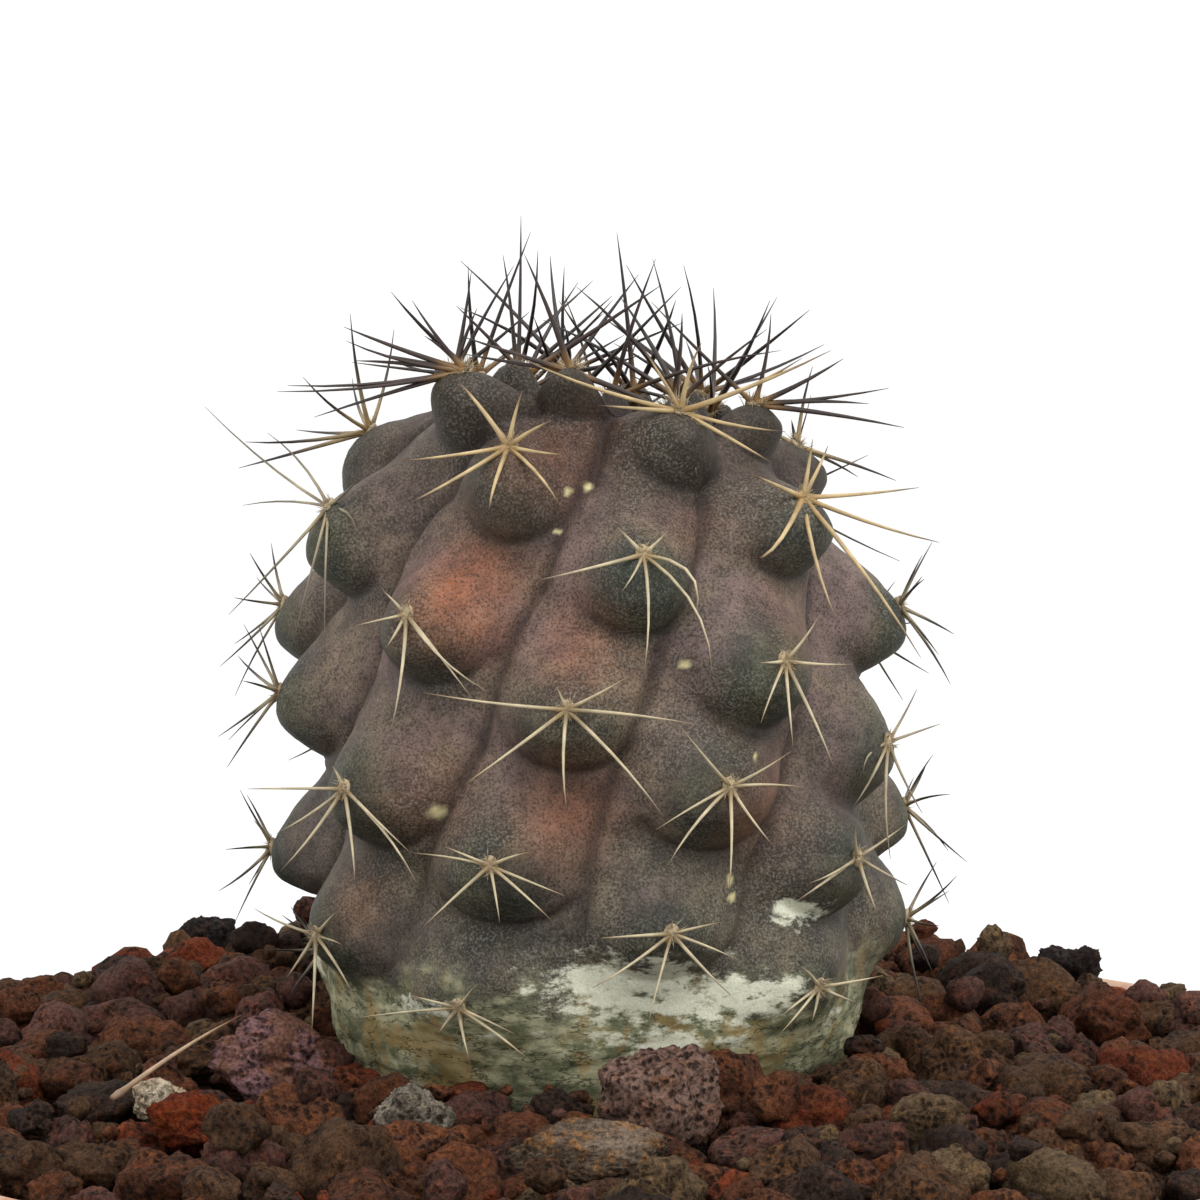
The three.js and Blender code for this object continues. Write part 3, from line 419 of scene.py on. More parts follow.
def broken_stone(
        draw, size, detail, facets=11, edge=12, lumps=0.09, pits=22, pit_wide=(0.10, 0.34), pit_deep=0.45):
    """One broken stone: a ball with flat faces broken off it, then lumps, burst bubbles and crumbs."""
    ball, faces = BALLS[detail]
    normals = unit(draw.normal(size=(facets, 3)))
    away = draw.uniform(FACETS_FROM, 1.0, facets)
    reach = np.maximum(ball @ normals.T, 0) / away
    radius = np.minimum(np.maximum((reach ** edge).sum(axis=1), ALMOST_NONE) ** (-1 / edge), FARTHEST)
    for waves, share in LUMP_WAVES:
        wave = ball @ draw.normal(size=(3, 4)) * waves + draw.uniform(0, ABOUT_A_TURN, 4)
        radius += lumps * share * np.sin(wave).mean(axis=1) * 2
    middles = unit(draw.normal(size=(pits, 3)))
    wide = draw.uniform(*pit_wide, pits)
    near = np.arccos(np.clip(ball @ middles.T, -1, 1)) / wide
    hollow = (np.where(near < 1, (1 - near ** 2), 0) * wide).max(axis=1)
    radius -= pit_deep * hollow
    radius *= 1 + draw.normal(size=len(ball)) * CRUMBLE
    angle = draw.uniform(0, ABOUT_A_TURN)
    axis = Vector(draw.normal(size=3)).normalized()
    points = ball * radius[:, None] @ np.array(Matrix.Rotation(angle, 3, axis)).T
    return points * np.array(size) / 2, faces


def throw_grains(draw, tries, crowding, smallest, largest, margin, keep_clear):
    """Places for grains on the pot's plan, the larger ones thrown first, that keep their distance."""
    kept = np.zeros((0, 3))
    for i in range(tries):
        size = smallest + (largest - smallest) * (1 - i / tries) * draw.random() ** SIZE_SKEW
        away = (LIP_INNER_RADIUS - GAP) * math.sqrt(draw.random())
        turn = 2 * math.pi * draw.random()
        x, y = away * math.cos(turn), away * math.sin(turn)
        if away + margin * size > LIP_INNER_RADIUS - GAP:
            continue
        if math.hypot(x - PLANT_X, y) < COLLAR_RADIUS + CLEAR_OF_PLANT * size:
            continue
        if keep_clear and any(
                math.hypot(x - stone_x, y - stone_y) < CLEAR_OF_STONE * (size + wide[1])
                for stone_x, stone_y, wide, *_ in LOOSE_STONES.values()):
            continue
        room = crowding * (size + kept[:, 2]) / 2
        if (np.hypot(kept[:, 0] - x, kept[:, 1] - y) < room).any():
            continue
        kept = np.vstack([kept, (x, y, size)])
    return kept


def lowered_at(x, y):
    """How much lower the grains lie beside a loose stone, which shows down to the grains that carry it."""
    lowered = []
    for stone_x, stone_y, wide, *_ in LOOSE_STONES.values():
        across = (x - stone_x) / (wide[0] / 2 + LOWER_BESIDE)
        along = (y - stone_y + LOWER_FORWARD) / (wide[1] / 2 + LOWER_BEFORE)
        lowered.append(LOWER_BY_STONE * math.exp(-(across ** 2 + along ** 2) ** 2))
    return max(lowered)


def joined(parts):
    """The points, faces and marks of many parts as those of one piece."""
    points, faces, *marks = zip(*parts)
    starts = np.cumsum([0] + [len(own) for own in points]).tolist()
    faces = [[start + i for i in face] for start, own in zip(starts, faces) for face in own]
    return [np.concatenate(points), faces] + [np.concatenate(own) for own in marks]


def mark(piece, name, values):
    """Gives each point of a piece a number that its material reads."""
    layer = piece.data.attributes.new(name, "FLOAT", "POINT")
    layer.data.foreach_set("value", np.asarray(values, np.float32))


def closed_faces(rows, sides):
    """Faces of a body from rows of points round it and the two points that close its last and first row."""
    steps = [(i, (i + 1) % sides) for i in range(sides)]
    last, end = (rows - 1) * sides, rows * sides
    faces = [
        (row + i, row + k, row + sides + k, row + sides + i)
        for row in range(0, last, sides) for i, k in steps]
    faces += [(last + i, last + k, end) for i, k in steps]
    return faces + [(k, i, end + 1) for i, k in steps]


def make_gravel():
    """Throws the grains layer by layer, breaks a stone for each place, and joins the stones of one colour."""
    draw = np.random.default_rng(GRAIN_SEED)
    layers = [(throw_grains(draw, *throw), lift, near, far) for *throw, lift, near, far in GRAIN_LAYERS]
    names = list(GRAIN_KINDS)
    shares = np.array([GRAIN_KINDS[name][0] for name in names])
    heaps = {name: [] for name in names}
    for places, lift, near, far in layers:
        for x, y, size in places:
            name = names[draw.choice(len(names), p=shares / shares.sum())]
            wide = size * np.array([GRAIN_LENGTH, draw.uniform(*GRAIN_WIDTHS), draw.uniform(*GRAIN_HEIGHTS)])
            stone, faces = broken_stone(draw, wide, near if y < NEAR_BEFORE else far)
            turn = np.array(Matrix.Rotation(draw.uniform(0, 2 * math.pi), 3, "Z"))
            uneven = draw.uniform(-GRAIN_UNEVEN, GRAIN_UNEVEN) * min(1, size / 2)
            z = gravel_height(x, y) + lift + uneven - lowered_at(x, y)
            tone = np.full(len(stone), draw.uniform(*GRAIN_TONES))
            heaps[name].append((stone @ turn.T + (x, y, z), faces, tone))
    for name, stones in heaps.items():
        points, faces, tones = joined(stones)
        material = crushed_lava(name, *GRAIN_KINDS[name][1:])
        grains = new_piece("grains_" + name, points, faces, material, ["lava_gravel"])
        mark(grains, "tone", tones)


def make_gravel_bed():
    """The packed gravel under the grains: a closed ring round the plant's neck, down to the pot's floor."""
    turn = full_turn(BED_SIDES)

    def ring(radius, z, middle_x=0):
        """A ring of points at a height, round the pot's middle or another."""
        x, y = middle_x + radius * np.cos(turn), radius * np.sin(turn)
        return np.stack([x, y, np.full(BED_SIDES, z)], axis=-1)

    rows = [ring(radius, PLANT_BASE_Z + height, PLANT_X) for radius, height in BED_NECK]
    for k in range(BED_RINGS + 1):
        share = k / BED_RINGS
        x, y, _ = ((1 - share) * ring(BED_INNER_RADIUS, 0, PLANT_X) + share * ring(BED_OUTER_RADIUS, 0)).T
        places = [Vector((a, b, BED_LUMPS_LEVEL)) for a, b in zip(x, y)]
        lumps = np.array([noise.noise(place * BED_LUMPS_PER_MM) for place in places])
        rows.append(np.stack([x, y, gravel_height(x, y) - BED_BELOW + BED_LUMPS * lumps], axis=-1))
    rows += [ring(inner_radius(z) - GAP, z) for z in BED_WALL_HEIGHTS]
    ends = [(0, 0, BED_WALL_HEIGHTS[-1]), (PLANT_X, 0, PLANT_BASE_Z + BED_NECK_END)]
    points = np.concatenate(rows + [ends])
    faces = [face[::-1] for face in closed_faces(len(rows), BED_SIDES)]
    material = crushed_lava("packed_lava", "#24150f", "#2c1b13", "#3a2012", "#0b0605")
    bed = new_piece("gravel_packed_bed", points, faces, material, ["lava_gravel"], BED_SHARP_ANGLE)
    mark(bed, "tone", np.full(len(points), BED_TONE))


make_gravel_bed()
make_gravel()

# Loose stones
# Larger lava stones that lie free on the gravel: a porous round lump and a flat slab before the plant, and
# others round it. Each stands where its CAD node stands and keeps that node's size.

FIRST_STONE_SEED = 610
STONE_DETAIL = 24
# How the stones broke: most are lumps riddled with bubbles, and the flat one split as a slab.
LUMP = {"facets": 15, "edge": 8, "lumps": 0.07, "pits": 110, "pit_wide": (0.06, 0.24), "pit_deep": 0.55}
SLAB = {"facets": 9, "edge": 14, "lumps": 0.03, "pits": 30, "pit_wide": (0.05, 0.16), "pit_deep": 0.35}
# Each stone's material, its four tones as the grains', how porous it is, and its slot.
STONE_FINISHES = {
    "stone_pumice_front": ("porous_lava", "#6c5349", "#7a6257", "#7e563f", "#1f1411", 1.0, "stone_mauve"),
    "stone_flat_front": ("split_lava", "#746455", "#5a4d40", "#8f6338", "#1d1510", 0.1, "stone_grey"),
    "stone_mauve_left": ("porous_mauve_lava", "#704f42", "#7c5c5e", "#7d5035", "#231513", 0.6, "stone_mauve"),
    "stone_grey_left": ("grey_lava", "#b3a28c", "#c6b69d", "#a88c6c", "#5f5242", 0.5, "stone_grey"),
    "stone_red_left": ("oxidised_lava", "#66290f", "#55220f", "#743d1c", "#280f08", 0.2, "stone_red"),
    "stone_grey_base": ("ash_lava", "#7b7265", "#908676", "#7a6855", "#2a231d", 0.8, "stone_grey"),
    "stone_dark_back_left": ("black_lava", "#26201e", "#34302f", "#3e2a20", "#0d0a09", 0.3, "stone_dark"),
    "stone_dark_back_right": (
        "black_lava_right", "#261f1d", "#383130", "#412b21", "#0d0a09", 0.3, "stone_dark"),
    "stone_pale_back": ("pale_lava", "#6d5b4b", "#8b7764", "#7a5a3e", "#33271e", 0.4, "stone_grey"),
    "stone_red_right": ("rusty_lava", "#56301f", "#47291c", "#663e24", "#1a0c07", 0.4, "stone_red"),
}


def make_loose_stones():
    """Breaks each stone, brings it to its node's size, and sets it down on the gravel."""
    for i, (name, (x, y, size, rest, turn)) in enumerate(LOOSE_STONES.items()):
        draw = np.random.default_rng(FIRST_STONE_SEED + i)
        finish, *tones, slot = STONE_FINISHES[name]
        broken = SLAB if name == "stone_flat_front" else LUMP
        points, faces = broken_stone(draw, (2, 2, 2), STONE_DETAIL, **broken)
        low, high = points.min(axis=0), points.max(axis=0)
        points = (points - (low + high) / 2) / (high - low) * size
        points = points @ np.array(Matrix.Rotation(math.radians(turn), 3, "Z")).T
        points += (x, y, gravel_height(x, y) + rest * size[2])
        stone = new_piece("loose_" + name, points, faces, crushed_lava(finish, *tones), [name])
        mark(stone, "tone", np.ones(len(points)))


make_loose_stones()

# Stem
# A short green-brown column, 33 mm wide, of nine slanting ribs split into tubercles. Its skin is waxy and
# leathery, mauve-brown in the sun, greener on the tubercles, and rubbed to pale cork at the foot. Its neck
# stands in the gravel.

# The stem's outline over the middles of its tubercles, and its neck's in the gravel: (radius, height).
TIP_OUTLINE = [
    (13.6, 0), (15.0, 4), (16.2, 9.5), (16.0, 17), (15.3, 23.5), (13.9, 29), (11.3, 33.3), (8.3, 35.8),
    (5.2, 35.2), (2.5, 33.4), (0, 32.6)]
NECK_OUTLINE = [(1.6, -38), (3.6, -26), (5.4, -15), (7.6, -9), (11.6, -6.5), (13.0, -3)]
NECK_END = -39
# The spiral of tubercles: where the one numbered 0 stands, and how far round and up the next one is, in
# degrees and millimetres.
FIRST_TUBERCLE = -2
LAST_ON_SIDE = 36
LAST_TUBERCLE = 52
TURN_START = -33.7
TURN_EACH = -78.5
RISE_START = 4.37
RISE_EACH = 0.875
SIDE_SPACING = 9.4
TUBERCLE_SEED = 77
TURN_JITTER, RISE_JITTER, SIZE_JITTER, HEIGHT_JITTER = 3, 0.5, 0.07, 0.13
# So that no tubercle shrinks to nothing at the apex: the least length left and the least radius there.
LEAST_LEFT, LEAST_ROUND = 0.6, 0.8
# Tubercles that stray from the even spiral, by number: (turn in degrees, rise in millimetres, share taller).
STRAYS = {
    -1: (2, 2.6), 0: (8, 1.5), 3: (-2, 1.3), 4: (1, 2.2), 5: (6, 0), 8: (-3, 1.4), 9: (1.5, 1.1),
    10: (3, -1.1, 0.15), 12: (-2, -1.1), 13: (-2, 1.6), 14: (4.5, 0.2), 17: (-4, -0.9), 18: (1.5, 1.0),
    19: (0, -0.5), 22: (-4, -0.2), 23: (2, 1.1), 24: (16, -0.7, 0.35), 26: (0, -2.2), 27: (3, 0.7),
    28: (-2, 1.0), 31: (-2, 0.1), 32: (4.5, 1.0), 35: (0, 0.5), 36: (4, 0.6), 37: (17, 0.6), 40: (-2, -0.8),
    41: (3, 0), 42: (0, 0, -0.3), 44: (0, 0, -0.35), 45: (6, 0, -0.35), 46: (9, -0.6, -0.1), 50: (10, 0)}
# The crown leans a little: it falls towards the plant's right and its back, from the shoulder up.
CROWN_FALL_RIGHT, CROWN_FALL_BACK = 0.12, 0.08
CROWN_FALL_FROM, CROWN_FALL_FULL = 27, 36
GROOVE_DEPTH = 3.3
RELIEF_POWER = 0.12
# The least radius for measuring round the stem, and for the skin itself.
LEAST_RADIUS, LEAST_SKIN_RADIUS = 0.5, 0.05
RIB_HEIGHT, RIB_REACH, RIB_LENGTH, RIB_SLANT = 0.8, 8, 11, 0.42
# Each hill is a round knob. On the side its areole sits at the middle, and on the crown above it.
HILL_HEIGHT, HILL_POWER, HILL_BLEND = 2.9, 2.4, 0.22
LOW_HILL_DROP, HIGH_HILL_DROP, DROP_FROM, DROP_FULL = 0.7, 1.8, 21, 31
HILL_REACH_UP, HILL_REACH_DOWN = 3.5, 3.0
# Old tubercles low on the stem are broad, and the young ones are narrow knobs.
HILL_REACH_ROUND, HILL_NARROWING = 4.7, 0.3
# How far a hill's top hangs down, and how much less its lower slopes do.
CHIN_DROOP, DROOP_POWER = 0.8, 1.5
COLLAR_TOP, COLLAR_RELIEF = 12, 0.12
# Neighbouring ribs meet in a thin crease, and a fold runs under each tubercle's chin.
RIB_COUNT, NO_RIB = 9, -9.0
CREASE_DEPTH, CREASE_WIDTH = 0.3, 0.24
FOLD_DEPTH, FOLD_WIDTH = 0.3, 0.3
STEM_SIDES = 396
STEM_ROWS = 240
OUTLINE_STEPS = 540
# The skin's fine relief: crinkles all over and wrinkles across the foot.
CRINKLE_HEIGHT, CRINKLES_PER_MM, CRINKLE_OCTAVES = 0.10, 0.55, (0.9, 2.1, 4)
WRINKLE_HEIGHT, WRINKLES_PER_MM = 0.10, Vector((0.5, 0.5, 2.6))
# Where on the outline something starts and ends, in millimetres from the gravel, and how full or how ragged
# it is.
WRINKLES_FADE = (1, 9)
CREASES_GROW = (3, 14)
FOLDS_GROW = (4, 9)
CORK_FADES, CORK_RAGGED = (1.5, 9.5), 1.6
LOW_GREEN_FADES, LOW_GREEN, LOW_GREEN_RAGGED = (9, 24), 0.55, 3
BROWN_GROWS, BROWN = (27, 35), 0.75
# A tubercle's green cap: how green at least, how far its middle lies below the hill's, its reach, and
# where it fades.
GREEN_SEED, GREEN_LEAST = 405, 0.82
GREEN_DOWN, GREEN_REACH, GREEN_FADES = 0.5, 4.3, (0.45, 1.0)
# The painted shade under its chin: how dark, how far below the areole, and its half width and height.
CHIN_SHADE, CHIN_BELOW, CHIN_WIDE, CHIN_HIGH = 0.5, 4.3, 3.2, 1.4
# The fold under the chin: where it runs by the hill's reach, how it grows from the sides to below, and the
# least distance by that reach for which this is worked out.
FOLD_AT, FOLD_GROWS, FOLD_LEAST = 1.08, (0.3, 0.75), 0.1
# How dark the painted shade is in the creases between ribs and along the folds under the chins.
CREASE_SHADE, FOLD_SHADE = 0.6, 0.5
# Sun-reddened patches, by tubercle: (to the right, up, reach) in millimetres and strength from 0 to 1.
BLUSHES = {
    23: [(2.4, 1.6, 3.2, 1.0), (3.4, -0.8, 2.2, 0.7)], 32: [(2.4, 0.6, 2.9, 1.0), (3.8, 2.4, 2.4, 1.0)],
    9: [(3.6, 2.4, 2.6, 0.75)], 18: [(0.6, 3.0, 2.6, 0.6)], 14: [(4.0, -0.8, 2.8, 0.3)],
    22: [(2.4, 1.2, 2.2, 0.3)], 13: [(2.4, -1.6, 2.6, 0.55)], 5: [(2.6, 1.5, 2.0, 0.3)],
    27: [(3.8, 1.8, 2.0, 0.3)]}
# Scars and rubbed patches lie on the side that faces front, before this y.
FRONT_BEFORE = -4
# Pale scars and specks on the skin: (x, z) as seen from the front, half width, half height, in millimetres.
SCARS = [
    (-8.65, 83.3, 0.34, 0.38), (-2.0, 99.3, 0.2, 0.17), (-1.0, 99.6, 0.26, 0.2), (-2.6, 97.4, 0.24, 0.12),
    (6.1, 79.9, 0.16, 0.3), (6.2, 79.1, 0.2, 0.22), (3.8, 90.8, 0.3, 0.2), (7.4, 86.2, 0.12, 0.14)]
SCAR_FADES = (0.6, 1.2)
# Rubbed patches of nearly white cork at the foot, given like the scars, and how full each is.
RUBBED = [
    (1.2, 74.7, 5.4, 2.1, 1.0), (4.6, 73.8, 6.0, 1.8, 0.95), (7.4, 74.2, 3.2, 1.3, 0.8),
    (2.4, 72.0, 5.6, 1.2, 0.75), (-9.4, 73.6, 2.6, 0.9, 0.75), (9.9, 77.9, 1.9, 0.9, 0.95),
    (11.0, 72.6, 2.0, 1.2, 0.5), (-4.6, 72.4, 3.0, 0.7, 0.45)]
RUBBED_FADES, RUBBED_MOST = (0.1, 1.7), 0.85
# Behind, a rubbed band runs round the foot: how full, how high, how ragged and its half height.
BAND_FULL, BAND_RISE, BAND_RAGGED, BAND_HIGH = 0.55, 4.4, 1.2, 1.8


LEHMER_FACTOR, LEHMER_PRIME = 16807, 2147483647


def lehmer(seed):
    """The same repeatable series of numbers from 0 to 1 that the CAD draws."""
    state = seed
    while True:
        state = state * LEHMER_FACTOR % LEHMER_PRIME
        yield state / LEHMER_PRIME


def smooth_line(corners, steps):
    """A smooth line through the corners, in even steps from corner to corner."""
    corners = np.array([corners[0]] + list(corners) + [corners[-1]], float)
    place = np.linspace(0, len(corners) - 3, steps + 1)
    i = np.minimum(place.astype(int), len(corners) - 4)
    w = (place - i)[:, None]
    p0, p1, p2, p3 = corners[i], corners[i + 1], corners[i + 2], corners[i + 3]
    v1, v2 = (p2 - p0) / 2, (p3 - p1) / 2
    return (2 * p1 - 2 * p2 + v1 + v2) * w ** 3 + (-3 * p1 + 3 * p2 - 2 * v1 - v2) * w ** 2 + v1 * w + p1


OUTLINE = smooth_line(TIP_OUTLINE, OUTLINE_STEPS)
LENGTHS = np.concatenate([[0], np.cumsum(np.hypot(*np.diff(OUTLINE, axis=0).T))])
OUTLINE_LENGTH = LENGTHS[-1]
SHOULDER = RISE_START + LAST_ON_SIDE * RISE_EACH
CROWN_LENGTH = OUTLINE_LENGTH - SHOULDER


def outline_at(s):
    """The outline's point and its upward and outward directions, a length s along it from the gravel."""
    kept = np.clip(s, 0, OUTLINE_LENGTH - 1e-6)
    i = np.clip(np.searchsorted(LENGTHS, kept, side="right"), 1, len(LENGTHS) - 1)
    share = (kept - LENGTHS[i - 1]) / (LENGTHS[i] - LENGTHS[i - 1])
    point = OUTLINE[i - 1] + (OUTLINE[i] - OUTLINE[i - 1]) * np.expand_dims(share, -1)
    up = unit(OUTLINE[i] - OUTLINE[i - 1])
    return point, up, np.stack([up[..., 1], -up[..., 0]], axis=-1)


def rise_of(n):
    """How far up the outline tubercle n stands. Past the shoulder they crowd towards the apex."""
    if n <= LAST_ON_SIDE:
        return RISE_START + n * RISE_EACH
    return OUTLINE_LENGTH - CROWN_LENGTH * math.exp((LAST_ON_SIDE - n) * RISE_EACH / CROWN_LENGTH)


def size_at(s):
    """A tubercle's size against one on the side, from the room that each has there."""
    s = np.asarray(s, float)
    left = np.maximum(OUTLINE_LENGTH - s, LEAST_LEFT)
    step = np.where(s < SHOULDER, RISE_EACH, RISE_EACH * left / CROWN_LENGTH)
    radius = np.maximum(outline_at(s)[0][..., 0], LEAST_ROUND)
    return np.minimum(1, np.sqrt(2 * np.pi * radius * step) / SIDE_SPACING)


def collar_share(s):
    """How much of the relief there is, which dies away towards the gravel."""
    up = np.clip(np.asarray(s) / COLLAR_TOP, 0, 1)
    return COLLAR_RELIEF + (1 - COLLAR_RELIEF) * up * up * (3 - 2 * up)


def make_tubercles():
    """Where each tubercle stands, how large it is and how tall, by the same draws as the CAD's."""
    numbers = lehmer(TUBERCLE_SEED)
    made = []
    for n in range(FIRST_TUBERCLE, LAST_TUBERCLE + 1):
        turn_draw, rise_draw, size_draw, height_draw = [2 * next(numbers) - 1 for _ in range(4)]
        jitter = (turn_draw * TURN_JITTER, rise_draw * RISE_JITTER * float(size_at(rise_of(n))))
        turn, rise, *taller = STRAYS.get(n, jitter)
        s = rise_of(n) + rise
        made.append({
            "n": n, "s": s, "turn": math.radians(TURN_START + n * TURN_EACH + turn),
            "size": float(size_at(s)) * (1 + size_draw * SIZE_JITTER),
            "height": float(size_at(s)) ** RELIEF_POWER * (1 + (taller or [height_draw * HEIGHT_JITTER])[0])})
    return made


TUBERCLES = make_tubercles()


def wrapped(angle):
    """An angle as one between half a turn back and half a turn on."""
    return np.arctan2(np.sin(angle), np.cos(angle))


def smoothstep(low, high, value):
    """0 below the low value and 1 above the high one, with a smooth rise between."""
    share = np.clip((value - low) / (high - low), 0, 1)
    return share * share * (3 - 2 * share)


def hill_drop(t):
    """How far the middle of a tubercle's hill is below its areole, for a tubercle of full size."""
    return LOW_HILL_DROP + (HIGH_HILL_DROP - LOW_HILL_DROP) * float(smoothstep(DROP_FROM, DROP_FULL, t["s"]))


def hill_distance(t, around, up):
    """How far a point is from the middle of a tubercle's hill, as a share of the hill's reach that way."""
    low = up / t["size"] + hill_drop(t)
    reach = np.where(low > 0, HILL_REACH_UP, HILL_REACH_DOWN)
    reach_round = HILL_REACH_ROUND * (1 - HILL_NARROWING * t["s"] / OUTLINE_LENGTH)
    return np.hypot(around / (reach_round * t["size"]), low / reach)


def relief_at(turn, s, radius):
    """The heights of the rib and of the hills on it above the grooves, and the crease between ribs, to 1."""
    blend = HILL_BLEND * size_at(s)
    shape = np.broadcast(turn, s).shape
    ribs = np.full((RIB_COUNT,) + shape, NO_RIB)
    total = np.zeros(shape)
    for t in TUBERCLES:
        up = s - t["s"]
        around = wrapped(turn - t["turn"]) * radius
        across = (around - RIB_SLANT * up) / (RIB_REACH * t["size"])
        along = up / (RIB_LENGTH * t["size"])
        here = RIB_HEIGHT * t["height"] * (1 - across ** 2) * (1 - along ** 2)
        own = t["n"] % RIB_COUNT
        ribs[own] = np.where(np.abs(along) < 1, np.maximum(ribs[own], here), ribs[own])
        hill = HILL_HEIGHT * t["height"] * np.exp(-hill_distance(t, around, up) ** HILL_POWER)
        total += np.expm1(hill / blend)
    ribs.sort(axis=0)
    slope = 2 * RIB_HEIGHT / (RIB_REACH * size_at(s))
    apart = (ribs[-1] - ribs[-2]) / (2 * slope)
    crease = np.exp(-(apart / CREASE_WIDTH) ** 2)
    return np.maximum(ribs[-1], 0), blend * np.log1p(total), crease


def skin_at(turn, s, raised=0.0):
    """Points of the stem's skin, in millimetres, at turns and rises. Raised ones stand proud of the skin."""
    point, up, out = outline_at(s)
    rib, hill, _ = relief_at(turn, s, np.maximum(point[..., 0], LEAST_RADIUS))
    share = collar_share(s)
    across = share * (rib + hill - GROOVE_DEPTH * size_at(s) ** RELIEF_POWER) + raised
    droop = CHIN_DROOP * share * (hill / HILL_HEIGHT) ** DROOP_POWER
    radius = np.maximum(point[..., 0] + out[..., 0] * across - up[..., 0] * droop, LEAST_SKIN_RADIUS)
    fall = radius * (CROWN_FALL_RIGHT * np.sin(turn) - CROWN_FALL_BACK * np.cos(turn))
    height = point[..., 1] + out[..., 1] * across - up[..., 1] * droop
    height = height - fall * smoothstep(CROWN_FALL_FROM, CROWN_FALL_FULL, s)
    return np.stack(
        [PLANT_X + radius * np.sin(turn), -radius * np.cos(turn), PLANT_BASE_Z + height], axis=-1)


